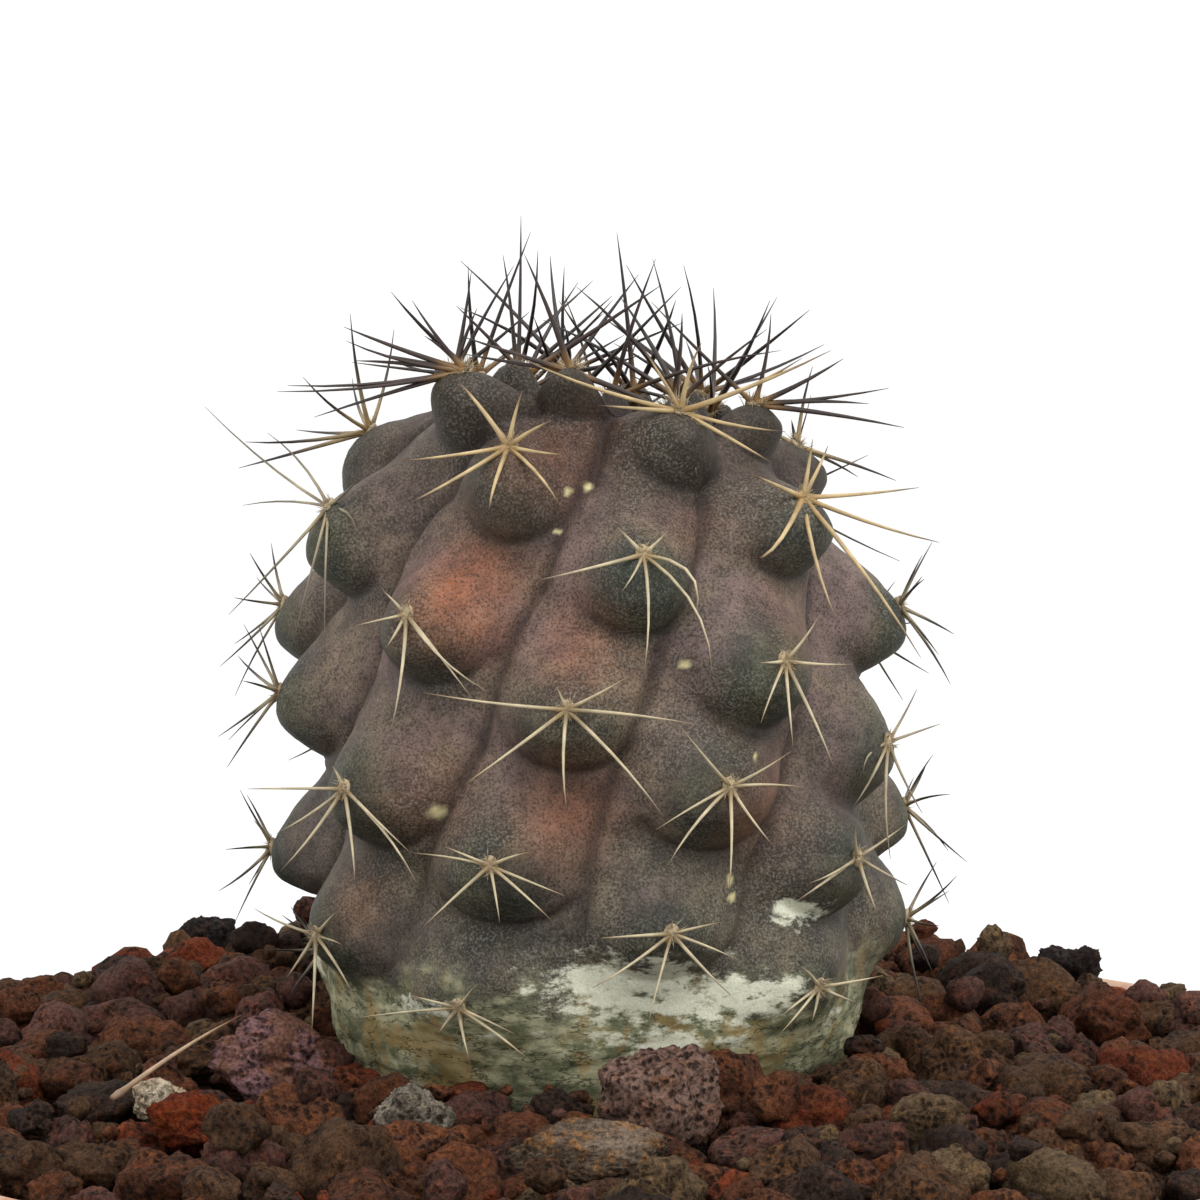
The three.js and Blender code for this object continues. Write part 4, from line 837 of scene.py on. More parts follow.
def waxy_skin():
    """Cactus skin: a leathery cuticle under fine grey wax bloom, so dull highlights and a frosted speckle."""
    material, tree, shader = new_material("waxy_cactus_skin", IOR=1.45, Metallic=0.0, Specular_IOR_Level=0.3)
    place = add_node(tree, "TexCoord").outputs["Object"]
    broad = add_node(tree, "TexNoise", {
        "Vector": place, "Scale": per_metre(3.2), "Detail": 6.0, "Roughness": 0.62})
    drift = add_node(tree, "TexNoise", {
        "Vector": place, "Scale": per_metre(5.5), "Detail": 3.0, "Roughness": 0.5, "Distortion": 0.8})
    mauve = add_node(tree, "MapRange", {
        "Value": drift, "From Min": 0.47, "From Max": 0.60,
        "To Max": 0.65}, interpolation_type="SMOOTHSTEP")
    blotch = add_node(tree, "MapRange", {
        "Value": broad, "From Min": 0.38, "From Max": 0.62}, interpolation_type="SMOOTHSTEP")
    rib_skin = add_node(tree, "Mix", {
        "Factor": blotch, "A": linear("#5e4e46"), "B": linear("#786655")}, data_type="RGBA")
    bare_rib = add_node(tree, "Mix", {
        "Factor": mauve, "A": rib_skin, "B": linear("#796461")}, data_type="RGBA")
    hill_skin = add_node(tree, "Mix", {
        "Factor": blotch, "A": linear("#2c352c"), "B": linear("#484936")}, data_type="RGBA")
    hill = add_node(tree, "Attribute", attribute_name="hill").outputs["Fac"]
    skin = add_node(tree, "Mix", {"Factor": hill, "A": bare_rib, "B": hill_skin}, data_type="RGBA")
    blush = add_node(tree, "Attribute", attribute_name="blush").outputs["Fac"]
    blush_patch = add_node(tree, "MapRange", {
        "Value": broad, "From Min": 0.25, "From Max": 0.6, "To Min": 0.65})
    blush_share = add_node(tree, "Math", {0: blush, 1: blush_patch}, operation="MULTIPLY")
    flushed = add_node(tree, "Mix", {
        "Factor": blush_share, "A": skin, "B": linear("#90583c")}, data_type="RGBA")
    # Painted shade under each tubercle's chin, darkening the skin towards green-black.
    painted_chin_shade = add_node(tree, "Attribute", attribute_name="painted_chin_shade").outputs["Fac"]
    shaded = add_node(tree, "Mix", {"Factor": painted_chin_shade, "A": flushed, "B": linear("#2d3028")}, data_type="RGBA")
    crown = add_node(tree, "Attribute", attribute_name="crown").outputs["Fac"]
    young = add_node(tree, "Mix", {"Factor": crown, "A": shaded, "B": linear("#3a2f27")}, data_type="RGBA")
    clouds = add_node(tree, "TexNoise", {
        "Vector": place, "Scale": per_metre(1.2), "Detail": 6.0, "Roughness": 0.7})
    cloud_shade = add_node(tree, "MapRange", {
        "Value": clouds, "From Min": 0.32, "From Max": 0.68, "To Min": 0.58, "To Max": 1.48})
    clouded = add_node(tree, "HueSaturation", {"Value": cloud_shade, "Color": young})
    # Wax bloom: pale specks, drawn 0.13 mm apart so that they show, thicker in patches, with dark pores.
    specks = add_node(tree, "TexNoise", {
        "Vector": place, "Scale": per_metre(0.13), "Detail": 2.0, "Roughness": 0.7})
    bloom = add_node(tree, "MapRange", {
        "Value": drift, "From Min": 0.62, "From Max": 0.38, "To Min": 0.15, "To Max": 0.5})
    pale_spots = add_node(tree, "MapRange", {"Value": specks, "From Min": 0.50, "From Max": 0.66})
    pale = add_node(tree, "Math", {0: pale_spots, 1: bloom}, operation="MULTIPLY")
    dark = add_node(tree, "MapRange", {"Value": specks, "From Min": 0.49, "From Max": 0.36, "To Max": 0.7})
    frosted = add_node(tree, "Mix", {
        "Factor": pale, "A": clouded, "B": linear("#98958d")}, data_type="RGBA")
    pored = add_node(tree, "Mix", {"Factor": dark, "A": frosted, "B": linear("#26221e")}, data_type="RGBA")
    # Painted shade: the creases between the ribs and the folds under the chins are darkened.
    crease = add_node(tree, "Attribute", attribute_name="crease").outputs["Fac"]
    crease_shaded = add_node(tree, "Mix", {
        "Factor": crease, "A": pored, "B": linear("#251b1a")}, data_type="RGBA")
    # Cork: a green to ochre old skin at the foot, wrinkled across, whose rubbed patches are nearly white.
    cork = add_node(tree, "Attribute", attribute_name="cork").outputs["Fac"]
    fibres = add_node(tree, "Mapping", {"Vector": place, "Scale": (1.0, 1.0, 2.0)})
    flakes = add_node(tree, "TexNoise", {
        "Vector": fibres, "Scale": per_metre(2.0), "Detail": 9.0, "Roughness": 0.7})
    moss = add_node(tree, "MapRange", {
        "Value": flakes, "From Min": 0.40, "From Max": 0.60}, interpolation_type="SMOOTHSTEP")
    green_foot = add_node(tree, "Mix", {
        "Factor": moss, "A": linear("#666b4e"), "B": linear("#b9b692")}, data_type="RGBA")
    ochre_patch = add_node(tree, "MapRange", {
        "Value": broad, "From Min": 0.50, "From Max": 0.60, "To Max": 0.6}, interpolation_type="SMOOTHSTEP")
    foot_tone = add_node(tree, "Mix", {
        "Factor": ochre_patch, "A": green_foot, "B": linear("#a5874c")}, data_type="RGBA")
    across = add_node(tree, "Mapping", {"Vector": place, "Scale": (1.0, 1.0, 3.2)})
    wrinkles = add_node(tree, "TexNoise", {
        "Vector": across, "Scale": per_metre(3.4), "Detail": 4.0, "Roughness": 0.6})
    off_line = add_node(tree, "Math", {0: wrinkles, 1: 0.5, 2: 0.012}, operation="COMPARE")
    wrinkle = add_node(tree, "Math", {0: off_line, 1: 0.7}, operation="MULTIPLY")
    wrinkled = add_node(tree, "Mix", {
        "Factor": wrinkle, "A": foot_tone, "B": linear("#2b2f22")}, data_type="RGBA")
    ragged_cork = add_node(tree, "Math", {0: flakes, 1: 0.6, 2: cork}, operation="MULTIPLY_ADD")
    foot_share = add_node(tree, "MapRange", {
        "Value": ragged_cork, "From Min": 0.42, "From Max": 1.1,
        "To Max": 0.95}, interpolation_type="SMOOTHSTEP")
    footed = add_node(tree, "Mix", {"Factor": foot_share, "A": crease_shaded, "B": wrinkled}, data_type="RGBA")
    rubbed = add_node(tree, "Attribute", attribute_name="rubbed").outputs["Fac"]
    flaked = add_node(tree, "MapRange", {
        "Value": flakes, "From Min": 0.34, "From Max": 0.66, "To Min": 0.1, "To Max": 0.9})
    rub_sum = add_node(tree, "Math", {0: rubbed, 1: flaked}, operation="ADD")
    rub_share = add_node(tree, "MapRange", {
        "Value": rub_sum, "From Min": 0.94, "From Max": 1.24,
        "To Max": 0.97}, interpolation_type="SMOOTHSTEP")
    dusted = add_node(tree, "Mix", {
        "Factor": specks, "A": linear("#bfc29c"), "B": linear("#fffff0")}, data_type="RGBA")
    corky = add_node(tree, "Mix", {"Factor": rub_share, "A": footed, "B": dusted}, data_type="RGBA")
    scar = add_node(tree, "Attribute", attribute_name="scar").outputs["Fac"]
    scarred = add_node(tree, "Mix", {"Factor": scar, "A": corky, "B": linear("#d9cd9a")}, data_type="RGBA")
    rough = add_node(tree, "MapRange", {
        "Value": specks, "From Min": 0.3, "From Max": 0.7, "To Min": 0.5, "To Max": 0.8})
    height = add_node(tree, "Math", {0: flakes, 1: rub_share, 2: specks}, operation="MULTIPLY_ADD")
    relief = add_node(tree, "Bump", {"Height": height, "Strength": 0.6, "Distance": 0.06 * MM})
    connect(tree, shader, {"Base Color": scarred, "Roughness": rough, "Normal": relief})
    return material


def skin_masks(grid_s, grid_turn, radius, bare, crinkle, crease):
    """Where the skin is green, flushed, brown, corky, rubbed or scarred, where painted shade darkens it under
    the chins, in the creases and along the folds, and its folds.
    """
    masks = {name: np.zeros(grid_s.shape) for name in (
        "hill", "crease", "blush", "painted_chin_shade", "crown", "cork", "rubbed", "scar")}
    fold = np.zeros(grid_s.shape)
    greenness = lehmer(GREEN_SEED)
    for t in TUBERCLES:
        around = wrapped(grid_turn - t["turn"]) * radius
        rise = grid_s - t["s"]
        from_middle = hill_distance(t, around, rise)
        around, rise = around / t["size"], rise / t["size"]
        below_middle = -(rise + hill_drop(t))
        green = GREEN_LEAST + (1 - GREEN_LEAST) * next(greenness)
        away = np.hypot(around, GREEN_DOWN - below_middle) / GREEN_REACH
        masks["hill"] = np.maximum(masks["hill"], green * (1 - smoothstep(*GREEN_FADES, away)))
        # Painted shade under the tubercle's chin.
        painted_chin_shade = np.exp(-((around / CHIN_WIDE) ** 2 + ((rise + CHIN_BELOW) / CHIN_HIGH) ** 2))
        masks["painted_chin_shade"] = np.maximum(masks["painted_chin_shade"], CHIN_SHADE * painted_chin_shade)
        below = below_middle / (HILL_REACH_DOWN * np.maximum(from_middle, FOLD_LEAST))
        under = smoothstep(*FOLD_GROWS, below)
        edge = (from_middle - FOLD_AT) * HILL_REACH_DOWN / FOLD_WIDTH
        fold = np.maximum(fold, under * np.exp(-edge ** 2))
        for right, up, reach, strength in BLUSHES.get(t["n"], []):
            spot = np.exp(-((around - right) ** 2 + (rise - up) ** 2) / reach ** 2)
            masks["blush"] = np.maximum(masks["blush"], strength * spot)
    low_green = LOW_GREEN * (1 - smoothstep(*LOW_GREEN_FADES, grid_s + LOW_GREEN_RAGGED * crinkle))
    masks["hill"] = np.maximum(masks["hill"], low_green)
    above_foot = smoothstep(*FOLDS_GROW, grid_s)
    fold *= above_foot
    # Painted shade in the creases between ribs and along the folds under the chins.
    masks["crease"] = np.maximum(CREASE_SHADE * crease, FOLD_SHADE * fold)
    masks["painted_chin_shade"] *= above_foot
    masks["crown"] = BROWN * smoothstep(*BROWN_GROWS, grid_s)
    ragged = crinkle * CORK_RAGGED
    masks["cork"] = 1 - smoothstep(*CORK_FADES, grid_s + ragged)
    x, y, z = np.moveaxis(bare, -1, 0)
    facing = y < FRONT_BEFORE
    for scar_x, scar_z, wide, high in SCARS:
        away = np.hypot((x - scar_x) / wide, (z - scar_z) / high)
        masks["scar"] = np.maximum(masks["scar"], facing * (1 - smoothstep(*SCAR_FADES, away)))
    off_band = (grid_s - BAND_RISE - BAND_RAGGED * ragged) / BAND_HIGH
    masks["rubbed"] = BAND_FULL * np.exp(-off_band ** 2) * (y > 0)
    for patch_x, patch_z, wide, high, full in RUBBED:
        away = np.hypot((x - patch_x) / wide, (z - patch_z) / high)
        patch = facing * full * RUBBED_MOST * (1 - smoothstep(*RUBBED_FADES, away))
        masks["rubbed"] = np.maximum(masks["rubbed"], patch)
    return masks, fold


def make_stem():
    """The stem from its foot to its apex, with its neck in the gravel, and its colours' masks."""
    turn = full_turn(STEM_SIDES)
    grid_s, grid_turn = np.meshgrid(np.linspace(0, OUTLINE_LENGTH, STEM_ROWS), turn, indexing="ij")
    radius = np.maximum(outline_at(grid_s)[0][..., 0], LEAST_RADIUS)
    crease = relief_at(grid_turn, grid_s, radius)[2] * smoothstep(*CREASES_GROW, grid_s)
    bare = skin_at(grid_turn, grid_s)
    places = [Vector(p) for p in bare.reshape(-1, 3)]
    crinkle = [noise.fractal(p * CRINKLES_PER_MM, *CRINKLE_OCTAVES) for p in places]
    crinkle = np.array(crinkle).reshape(grid_s.shape)
    wrinkles = np.array([noise.noise(p * WRINKLES_PER_MM) for p in places]).reshape(grid_s.shape)
    masks, fold = skin_masks(grid_s, grid_turn, radius, bare, crinkle, crease)

    near_foot = 1 - smoothstep(*WRINKLES_FADE, grid_s)
    raised = CRINKLE_HEIGHT * crinkle + WRINKLE_HEIGHT * wrinkles * near_foot
    body = skin_at(grid_turn, grid_s, raised - CREASE_DEPTH * crease - FOLD_DEPTH * fold)
    neck_radius, neck_height = np.array(NECK_OUTLINE).T
    neck_x = PLANT_X + np.outer(neck_radius, np.sin(turn))
    neck_y = -np.outer(neck_radius, np.cos(turn))
    neck_z = np.outer(PLANT_BASE_Z + neck_height, np.ones(STEM_SIDES))
    rows = np.concatenate([np.stack([neck_x, neck_y, neck_z], axis=-1), body[:-1]])
    ends = [body[-1].mean(axis=0), (PLANT_X, 0, PLANT_BASE_Z + NECK_END)]
    points = np.concatenate([rows.reshape(-1, 3), ends])
    faces = closed_faces(len(rows), STEM_SIDES)
    stem = new_piece("stem_skin", points, faces, waxy_skin(), ["cactus_stem_with_spines"])
    for name, mask in masks.items():
        mark(stem, name, np.concatenate([np.zeros(neck_x.size), mask[:-1].reshape(-1), np.zeros(len(ends))]))


make_stem()

# Spines
# Six to eight stiff needles from each areole, straw-coloured on the sides, dark brown on the crown.
# They are horn-like, round in section, swollen at the root and needle sharp.

SPINES_EACH = 7
# Lengths in millimetres and how far the spines stand up in degrees, on the side, the crown and the apex.
SIDE_SPINE_LENGTH, CROWN_SPINE_LENGTH = 5.4, 7.8
SIDE_SPINE_LIFT, CROWN_SPINE_LIFT, APEX_SPINE_LIFT = 27, 33, 60
# Where on the outline the crown's and the apex's spines begin and where they are full.
CROWN_START, CROWN_FULL = 26, 36
APEX_START, APEX_FULL = 40.5, 42.5
# The apex's stars have fewer spines, from this tubercle on.
APEX_SPINES_EACH, FIRST_OF_APEX = 4, 45
# The crown's shown spines come forward by a share of their length, from this tubercle on.
FIRST_OF_CROWN, CROWN_DEPTH_SHARE = 35, 0.35
# A side star's upper spines are this share of its lower ones' length.
UPPER_SPINE_SHARE = 0.62
# How far a spine's draws turn it in degrees, lengthen it by share and lift it in degrees.
SPINE_TURN_JITTER, SPINE_LENGTH_JITTER, SPINE_LIFT_JITTER = 9, 0.2, 9
# A spine ends at least this far above the gravel's mean height, found in so many steps, and is left out if
# shorter than the shortest. A shown one goes back or forward by no more than a share of its seen length.
SPINE_CLEARANCE, CLEAR_STEPS = 2.4, 12
SHORTEST_SPINE = 1.2
MOST_DEPTH_SHARE = 1.2
# The last tubercles that bear the side's and the upper spines, and each kind's half thickness.
LAST_SIDE_STAR, LAST_UPPER_STAR = 30, 36
SPINE_THICKS = {"side": 0.1, "upper": 0.135, "crown": 0.16}
THICKS_VARY, BOWS_VARY = (0.85, 1.15), (-0.035, 0.035)
SPINE_SEED, BOW_SEED = 913, 31
# A needle: how far out along it its root is, its rings near the root in millimetres and along it by share,
# how it tapers, and how its root swells.
ROOT_OUT = 0.12
SPINE_SIDES = 8
ROOT_RINGS, SHAFT_RINGS_FROM, SHAFT_RINGS = (-0.6, 0, 0.25, 0.7), 0.22, 5
TAPER_POWER, STRAIGHT_TAPER, THINNEST = 0.6, 0.06, 0.012
ROOT_SWELL, ROOT_SWELL_LENGTH = 0.5, 0.3
# The spines that face away from the front get painted shade: fully below the first cosine of their turn, and
# none above the other.
SHADED_BELOW, UNSHADED_ABOVE = 0.1, 0.7
# Each kind's material, and its tones at the root, along the shaft and at the tip.
SPINE_FINISHES = {
    "side": ("weathered_straw_spine", "#96805a", "#c6b795", "#8c745a"),
    "upper": ("golden_straw_spine", "#a58552", "#c4ab7d", "#5f4633"),
    "crown": ("dark_young_spine", "#9a7442", "#35241d", "#0f0c0b"),
}
# The stars that face front, spine by spine, by tubercle number: how far each tip lies (to the right, up), in
# millimetres.
FRONT_SPINES = {
    -1: [(3.3, 0.4), (2.0, -1.0), (-0.4, -1.6), (-2.1, -1.8), (-2.0, -1.0), (-1.0, 1.4)],
    0: [(-2.4, 0.7), (-5.1, -0.5), (-1.0, -1.3), (0.9, -3.9), (3.4, -1.9), (2.8, -0.8), (1.0, 1.6)],
    4: [(-3.5, 0.2), (-3.9, -2.2), (-1.2, -4.2), (2.9, -2.9), (3.3, -1.2), (2.5, 0.7)],
    5: [(-3.3, 1.0), (1.4, -0.2), (2.0, -2.3), (-0.1, -4.6), (-1.6, -2.4), (1.2, 1.6)],
    8: [(2.5, 1.5), (-2.6, -0.8), (-3.2, -1.5), (-0.2, 2.0), (1.0, -2.8), (2.6, -1.6)],
    9: [(-2.2, 1.0), (-3.7, 0.7), (-3.3, -2.9), (0.5, -2.6), (3.0, -2.2), (3.7, -1.0), (1.9, 0.9)],
    13: [(-2.6, 3.5), (3.0, 1.8), (3.6, 0), (2.1, -2.8), (-0.1, -4.7), (-3.1, -3.3), (-3.7, -1.6)],
    14: [(-5.0, -0.3), (-3.5, -2.4), (-3.2, -4.1), (0.7, -4.0), (3.4, -2.4), (3.8, -3.7), (-0.6, 1.2)],
    17: [(1.5, 2.7), (2.9, 0.5), (1.7, -3.5), (-1.4, -1.3), (-2.0, -2.8), (-0.2, -5.1)],
    18: [(-6.8, 1.1), (-0.5, 1.2), (3.1, 1.9), (6.4, -0.3), (4.7, -4.7), (0, -4.5), (-4.9, -3.3)],
    22: [(1.7, 2.3), (-1.3, 0.1), (-1.3, -2.7), (0.3, -3.9), (2.3, -4.9), (3.4, -0.2)],
    23: [(-1.0, -1.6), (-0.6, -5.2), (3.3, -3.4), (4.1, -3.1), (-1.2, 1.2), (-2.6, -0.6)],
    27: [(-1.3, 1.4), (-5.0, -0.9), (-1.1, -1.7), (0, -5.3), (3.3, -5.4), (2.5, -3.0), (1.2, 1.2)],
    28: [(-7.1, 4.5), (-4.8, -0.4), (-4.9, -5.2), (0.2, -6.7), (-1.4, -6.2), (1.6, -1.5), (1.7, 1.6),
         (-3.5, 3.4)],
    31: [(0.5, 2.9), (1.3, 2.5), (-2.6, 1.4), (-2.6, -2.7), (1.5, -5.8), (5.5, -7.3), (6.0, 0.3),
         (6.9, -2.3)],
    32: [(-2.6, 3.3), (0.7, 2.8), (2.2, 1.4), (2.9, -0.2), (2.6, -2.6), (-0.9, -2.9), (-4.9, -2.6),
         (-5.3, -0.6)],
    35: [(5.2, -1.8), (3.2, -1.6), (0.8, 4.2), (-0.3, 1.4), (-2.5, 1.2)],
    36: [(-8.3, 3.0), (-4.1, 0.4), (0.8, -3.2), (4.6, -2.5), (5.2, -0.9), (6.0, 2.8), (-1.9, 3.2),
         (1.0, 3.5), (7.4, 3.2)],
    37: [(-9.3, -0.9), (-8.8, -0.6), (-7.5, -2.2), (-6.0, 2.3), (-5.9, 1.6), (-5.5, 0.6), (-4.1, 0.9),
         (-2.6, 3.6), (-2.0, 1.8), (2.4, -3.6)],
    40: [(-5.3, 5.3), (0.8, 4.7), (4.5, 2.4), (6.8, 0.9), (5.8, 0.1), (7.6, -1.1)],
    41: [(-5.5, 1.9), (-5.4, 1.0), (5.3, -2.1), (-2.3, 6.0)],
    42: [(3.1, 5.6), (3.9, 3.2), (1.2, 3.4), (0.9, 5.3)],
    45: [(0.5, 4.9), (1.3, 2.3), (4.8, 4.1)],
    46: [(6.9, 4.7), (-3.5, 3.6)],
    50: [(2.2, 7.2), (8.5, 2.6)],
}
# Spines that bow as they dry: (tubercle, spine) and how far the middle bends by its length (to the right, up,
# forward).
BOWS = {
    (27, 4): (0.10, 0.06, 0.1), (27, 5): (0.22, 0.16, 0.1), (28, 5): (0.1, 0.14, 0.1),
    (17, 3): (-0.1, 0.1, 0.1), (31, 3): (-0.02, -0.1, 0.34)}


def directions_at(t):
    """The unit directions up along the skin, out of it, and round the stem at a tubercle."""
    _, up, out = outline_at(t["s"])
    sin, cos = math.sin(t["turn"]), math.cos(t["turn"])
    upward = np.array([up[0] * sin, -up[0] * cos, up[1]])
    outward = np.array([out[0] * sin, -out[0] * cos, out[1]])
    return upward, outward, np.array([cos, sin, 0])


def star_count(t):
    """How many spines a star has where the photograph shows none to follow."""
    return SPINES_EACH if t["n"] < FIRST_OF_APEX else APEX_SPINES_EACH


def star_spine(t, k, draws):
    """One of a star's spines, from where it points on the skin, how long it is and how far it stands up."""
    upward, outward, sideways = directions_at(t)
    crown = min(max((t["s"] - CROWN_START) / (CROWN_FULL - CROWN_START), 0), 1)
    apex = smoothstep(APEX_START, APEX_FULL, t["s"])
    clock = math.radians(180 + k * 360 / star_count(t) + draws[0] * SPINE_TURN_JITTER)
    upper = (0.5 + 0.5 * math.cos(clock)) * (1 - crown)
    length = SIDE_SPINE_LENGTH + (CROWN_SPINE_LENGTH - SIDE_SPINE_LENGTH) * crown
    lift = math.radians(
        SIDE_SPINE_LIFT + (CROWN_SPINE_LIFT - SIDE_SPINE_LIFT) * crown
        + (APEX_SPINE_LIFT - CROWN_SPINE_LIFT) * apex + draws[2] * SPINE_LIFT_JITTER)
    flat = upward * math.cos(clock) + sideways * math.sin(clock)
    along = flat * math.cos(lift) + outward * math.sin(lift)
    return along * length * (1 - (1 - UPPER_SPINE_SHARE) * upper) * (1 + draws[1] * SPINE_LENGTH_JITTER)


def front_spine(t, right, up):
    """A front spine from where its tip is seen. It comes forward on the crown, and off the skin elsewhere."""
    outward = directions_at(t)[1]
    length = math.hypot(right, up)
    if t["n"] >= FIRST_OF_CROWN:
        return np.array([right, -CROWN_DEPTH_SHARE * length * math.cos(t["turn"]), up])
    off_skin = math.sin(math.radians(SIDE_SPINE_LIFT)) * length
    lean = (off_skin - right * outward[0] - up * outward[2]) / outward[1]
    most = MOST_DEPTH_SHARE * length
    return np.array([right, min(max(lean, -most), most), up])


def clear_reach(start, spine):
    """The share of a spine that stays clear of the gravel."""
    for i in range(1, CLEAR_STEPS + 1):
        at = start + spine * i / CLEAR_STEPS
        if at[2] < gravel_height(at[0], at[1]) + SPINE_CLEARANCE:
            return (i - 1) / CLEAR_STEPS
    return 1


def needle(start, spine, outward, bow, thick):
    """Points, faces and distance from root to tip of one needle, bowed and swollen at its root."""
    length = np.linalg.norm(spine)
    side = unit(np.cross(spine / length, outward))
    other = np.cross(spine / length, side)
    shaft = np.linspace(SHAFT_RINGS_FROM, 1, SHAFT_RINGS)
    share = np.unique(np.concatenate([np.array(ROOT_RINGS) / length, shaft]))
    bent = np.clip(4 * share * (1 - share), 0, 1)
    middle = start + np.outer(share, spine) + np.outer(bent * length, bow)
    left = 1 - np.clip(share, 0, 1)
    taper = (1 - STRAIGHT_TAPER) * left ** TAPER_POWER + STRAIGHT_TAPER * left
    swollen = 1 + ROOT_SWELL * np.exp(-(share * length / ROOT_SWELL_LENGTH) ** 2)
    radius = np.maximum(thick * taper * swollen, THINNEST)
    turn = full_turn(SPINE_SIDES)
    ring = np.outer(np.cos(turn), side) + np.outer(np.sin(turn), other)
    points = (middle[:, None] + radius[:, None, None] * ring).reshape(-1, 3)
    last = (len(share) - 1) * SPINE_SIDES
    faces = []
    for row in range(0, last, SPINE_SIDES):
        for i in range(SPINE_SIDES):
            k = (i + 1) % SPINE_SIDES
            faces.append((row + i, row + SPINE_SIDES + i, row + SPINE_SIDES + k, row + k))
    caps = [tuple(range(SPINE_SIDES)), tuple(last + i for i in reversed(range(SPINE_SIDES)))]
    return points, faces + caps, np.repeat(np.clip(share, 0, 1), SPINE_SIDES)


def horny_spine(name, root, shaft, tip):
    """Dry spine tissue: hard horn, faintly ringed and streaked, straw to brown, with a dull polish."""
    material, tree, shader = new_material(name, IOR=1.54, Metallic=0.0, Roughness=0.48)
    along = add_node(tree, "Attribute", attribute_name="along").outputs["Fac"]
    place = add_node(tree, "TexCoord").outputs["Object"]
    streaks = add_node(tree, "TexNoise", {"Vector": place, "Scale": per_metre(0.9), "Detail": 4.0})
    rooted = add_node(tree, "MapRange", {
        "Value": along, "From Min": 0.02, "From Max": 0.28}, interpolation_type="SMOOTHSTEP")
    lower = add_node(tree, "Mix", {
        "Factor": rooted, "A": linear(root), "B": linear(shaft)}, data_type="RGBA")
    tipped = add_node(tree, "MapRange", {
        "Value": along, "From Min": 0.62, "From Max": 0.98}, interpolation_type="SMOOTHSTEP")
    whole = add_node(tree, "Mix", {"Factor": tipped, "A": lower, "B": linear(tip)}, data_type="RGBA")
    streaked = add_node(tree, "MapRange", {
        "Value": streaks, "From Min": 0.3, "From Max": 0.7, "To Min": 0.72, "To Max": 1.2})
    # Painted shade: spines that face away from the front are darkened to grey-brown, more towards the tip.
    facing_away_shade = add_node(tree, "Attribute", attribute_name="facing_away_shade").outputs["Fac"]
    from_root = add_node(tree, "MapRange", {
        "Value": along, "From Min": 0.05, "From Max": 0.65,
        "To Min": 0.25}, interpolation_type="SMOOTHSTEP")
    away_shade = add_node(tree, "Math", {0: facing_away_shade, 1: from_root}, operation="MULTIPLY")
    darkened = add_node(tree, "Mix", {"Factor": away_shade, "A": whole, "B": linear("#2c2420")}, data_type="RGBA")
    toned = add_node(tree, "HueSaturation", {"Value": streaked, "Color": darkened})
    rings = add_node(tree, "TexNoise", {"Vector": place, "Scale": per_metre(0.12), "Detail": 2.0})
    relief = add_node(tree, "Bump", {"Height": rings, "Strength": 0.3, "Distance": 0.02 * MM})
    connect(tree, shader, {"Base Color": toned, "Normal": relief})
    return material


def make_spines():
    """Sets each star on its tubercle, the shown ones as the photograph has them, and joins them by colour."""
    numbers = lehmer(SPINE_SEED)
    bend = random.Random(BOW_SEED)
    groups = {group: [] for group in SPINE_FINISHES}
    for t in TUBERCLES:
        start = skin_at(np.array([t["turn"]]), np.array([t["s"]]))[0]
        outward = directions_at(t)[1]
        # Painted shade for the spines that face away from the front.
        facing_away_shade = 1 - smoothstep(SHADED_BELOW, UNSHADED_ABOVE, math.cos(t["turn"]))
        group = "crown" if t["n"] > LAST_UPPER_STAR else "upper" if t["n"] > LAST_SIDE_STAR else "side"
        spines = [star_spine(t, k, [2 * next(numbers) - 1 for _ in range(3)]) for k in range(SPINES_EACH)]
        spines = spines[:star_count(t)]
        if t["n"] in FRONT_SPINES:
            spines = [front_spine(t, right, up) for right, up in FRONT_SPINES[t["n"]]]
        for k, spine in enumerate(spines):
            kept = spine * clear_reach(start, spine)
            bow = np.array([bend.uniform(*BOWS_VARY) for _ in range(3)])
            thick = SPINE_THICKS[group] * bend.uniform(*THICKS_VARY)
            if t["n"] == FIRST_TUBERCLE or np.linalg.norm(kept) < SHORTEST_SPINE:
                continue
            if (t["n"], k) in BOWS:
                right, up, forward = BOWS[t["n"], k]
                bow = np.array([right, -forward, up])
            out = unit(kept) * ROOT_OUT
            points, faces, along = needle(start + out, kept - out, outward, bow, thick)
            groups[group].append((points, faces, along, np.full(len(points), facing_away_shade)))
    for group, needles in groups.items():
        points, faces, along, away_shades = joined(needles)
        material = horny_spine(*SPINE_FINISHES[group])
        made = new_piece("spines_" + group, points, faces, material, ["cactus_stem_with_spines"])
        mark(made, "along", along)
        mark(made, "facing_away_shade", away_shades)


make_spines()

# Areoles
# The small felted cushions that the spines grow from, pale beige wool on the sides, thicker at the crown.
# Each is a low pad with short fibres standing on it.

# A pad's half measures in millimetres, the tubercles whose pad is so many times as tall, and how many faces
# wide a pad's sides are.
AREOLE_WIDTH, AREOLE_HEIGHT, AREOLE_THICK = 0.42, 0.52, 0.2
TALLER_AREOLES = {36: 1.9}
PAD_DETAIL = 4
FIBRES_EACH = 46
FIBRE_LENGTH, FIBRE_LENGTHS_VARY = 0.5, (0.5, 1.2)
# Half a fibre's thickness, and a step that keeps its sides apart where it stands straight out of the skin.
FIBRE_THICK, ASIDE = 0.03, 0.01
# A fibre's root on the pad, and how it leans: out of the skin, away from the middle, and at random.
FIBRES_WITHIN, FIBRES_UP = 0.95, 0.1
LEAN_OUT, LEAN_AWAY, LEAN_ANYWHERE = (0.3, 0.8), 1.2, 0.35
# Towards the crown the wool is longer and thicker.
WOOLLIER_FROM, WOOLLIER_FULL, WOOLLIER = 30, 40, 0.8
WOOL_SEED = 88


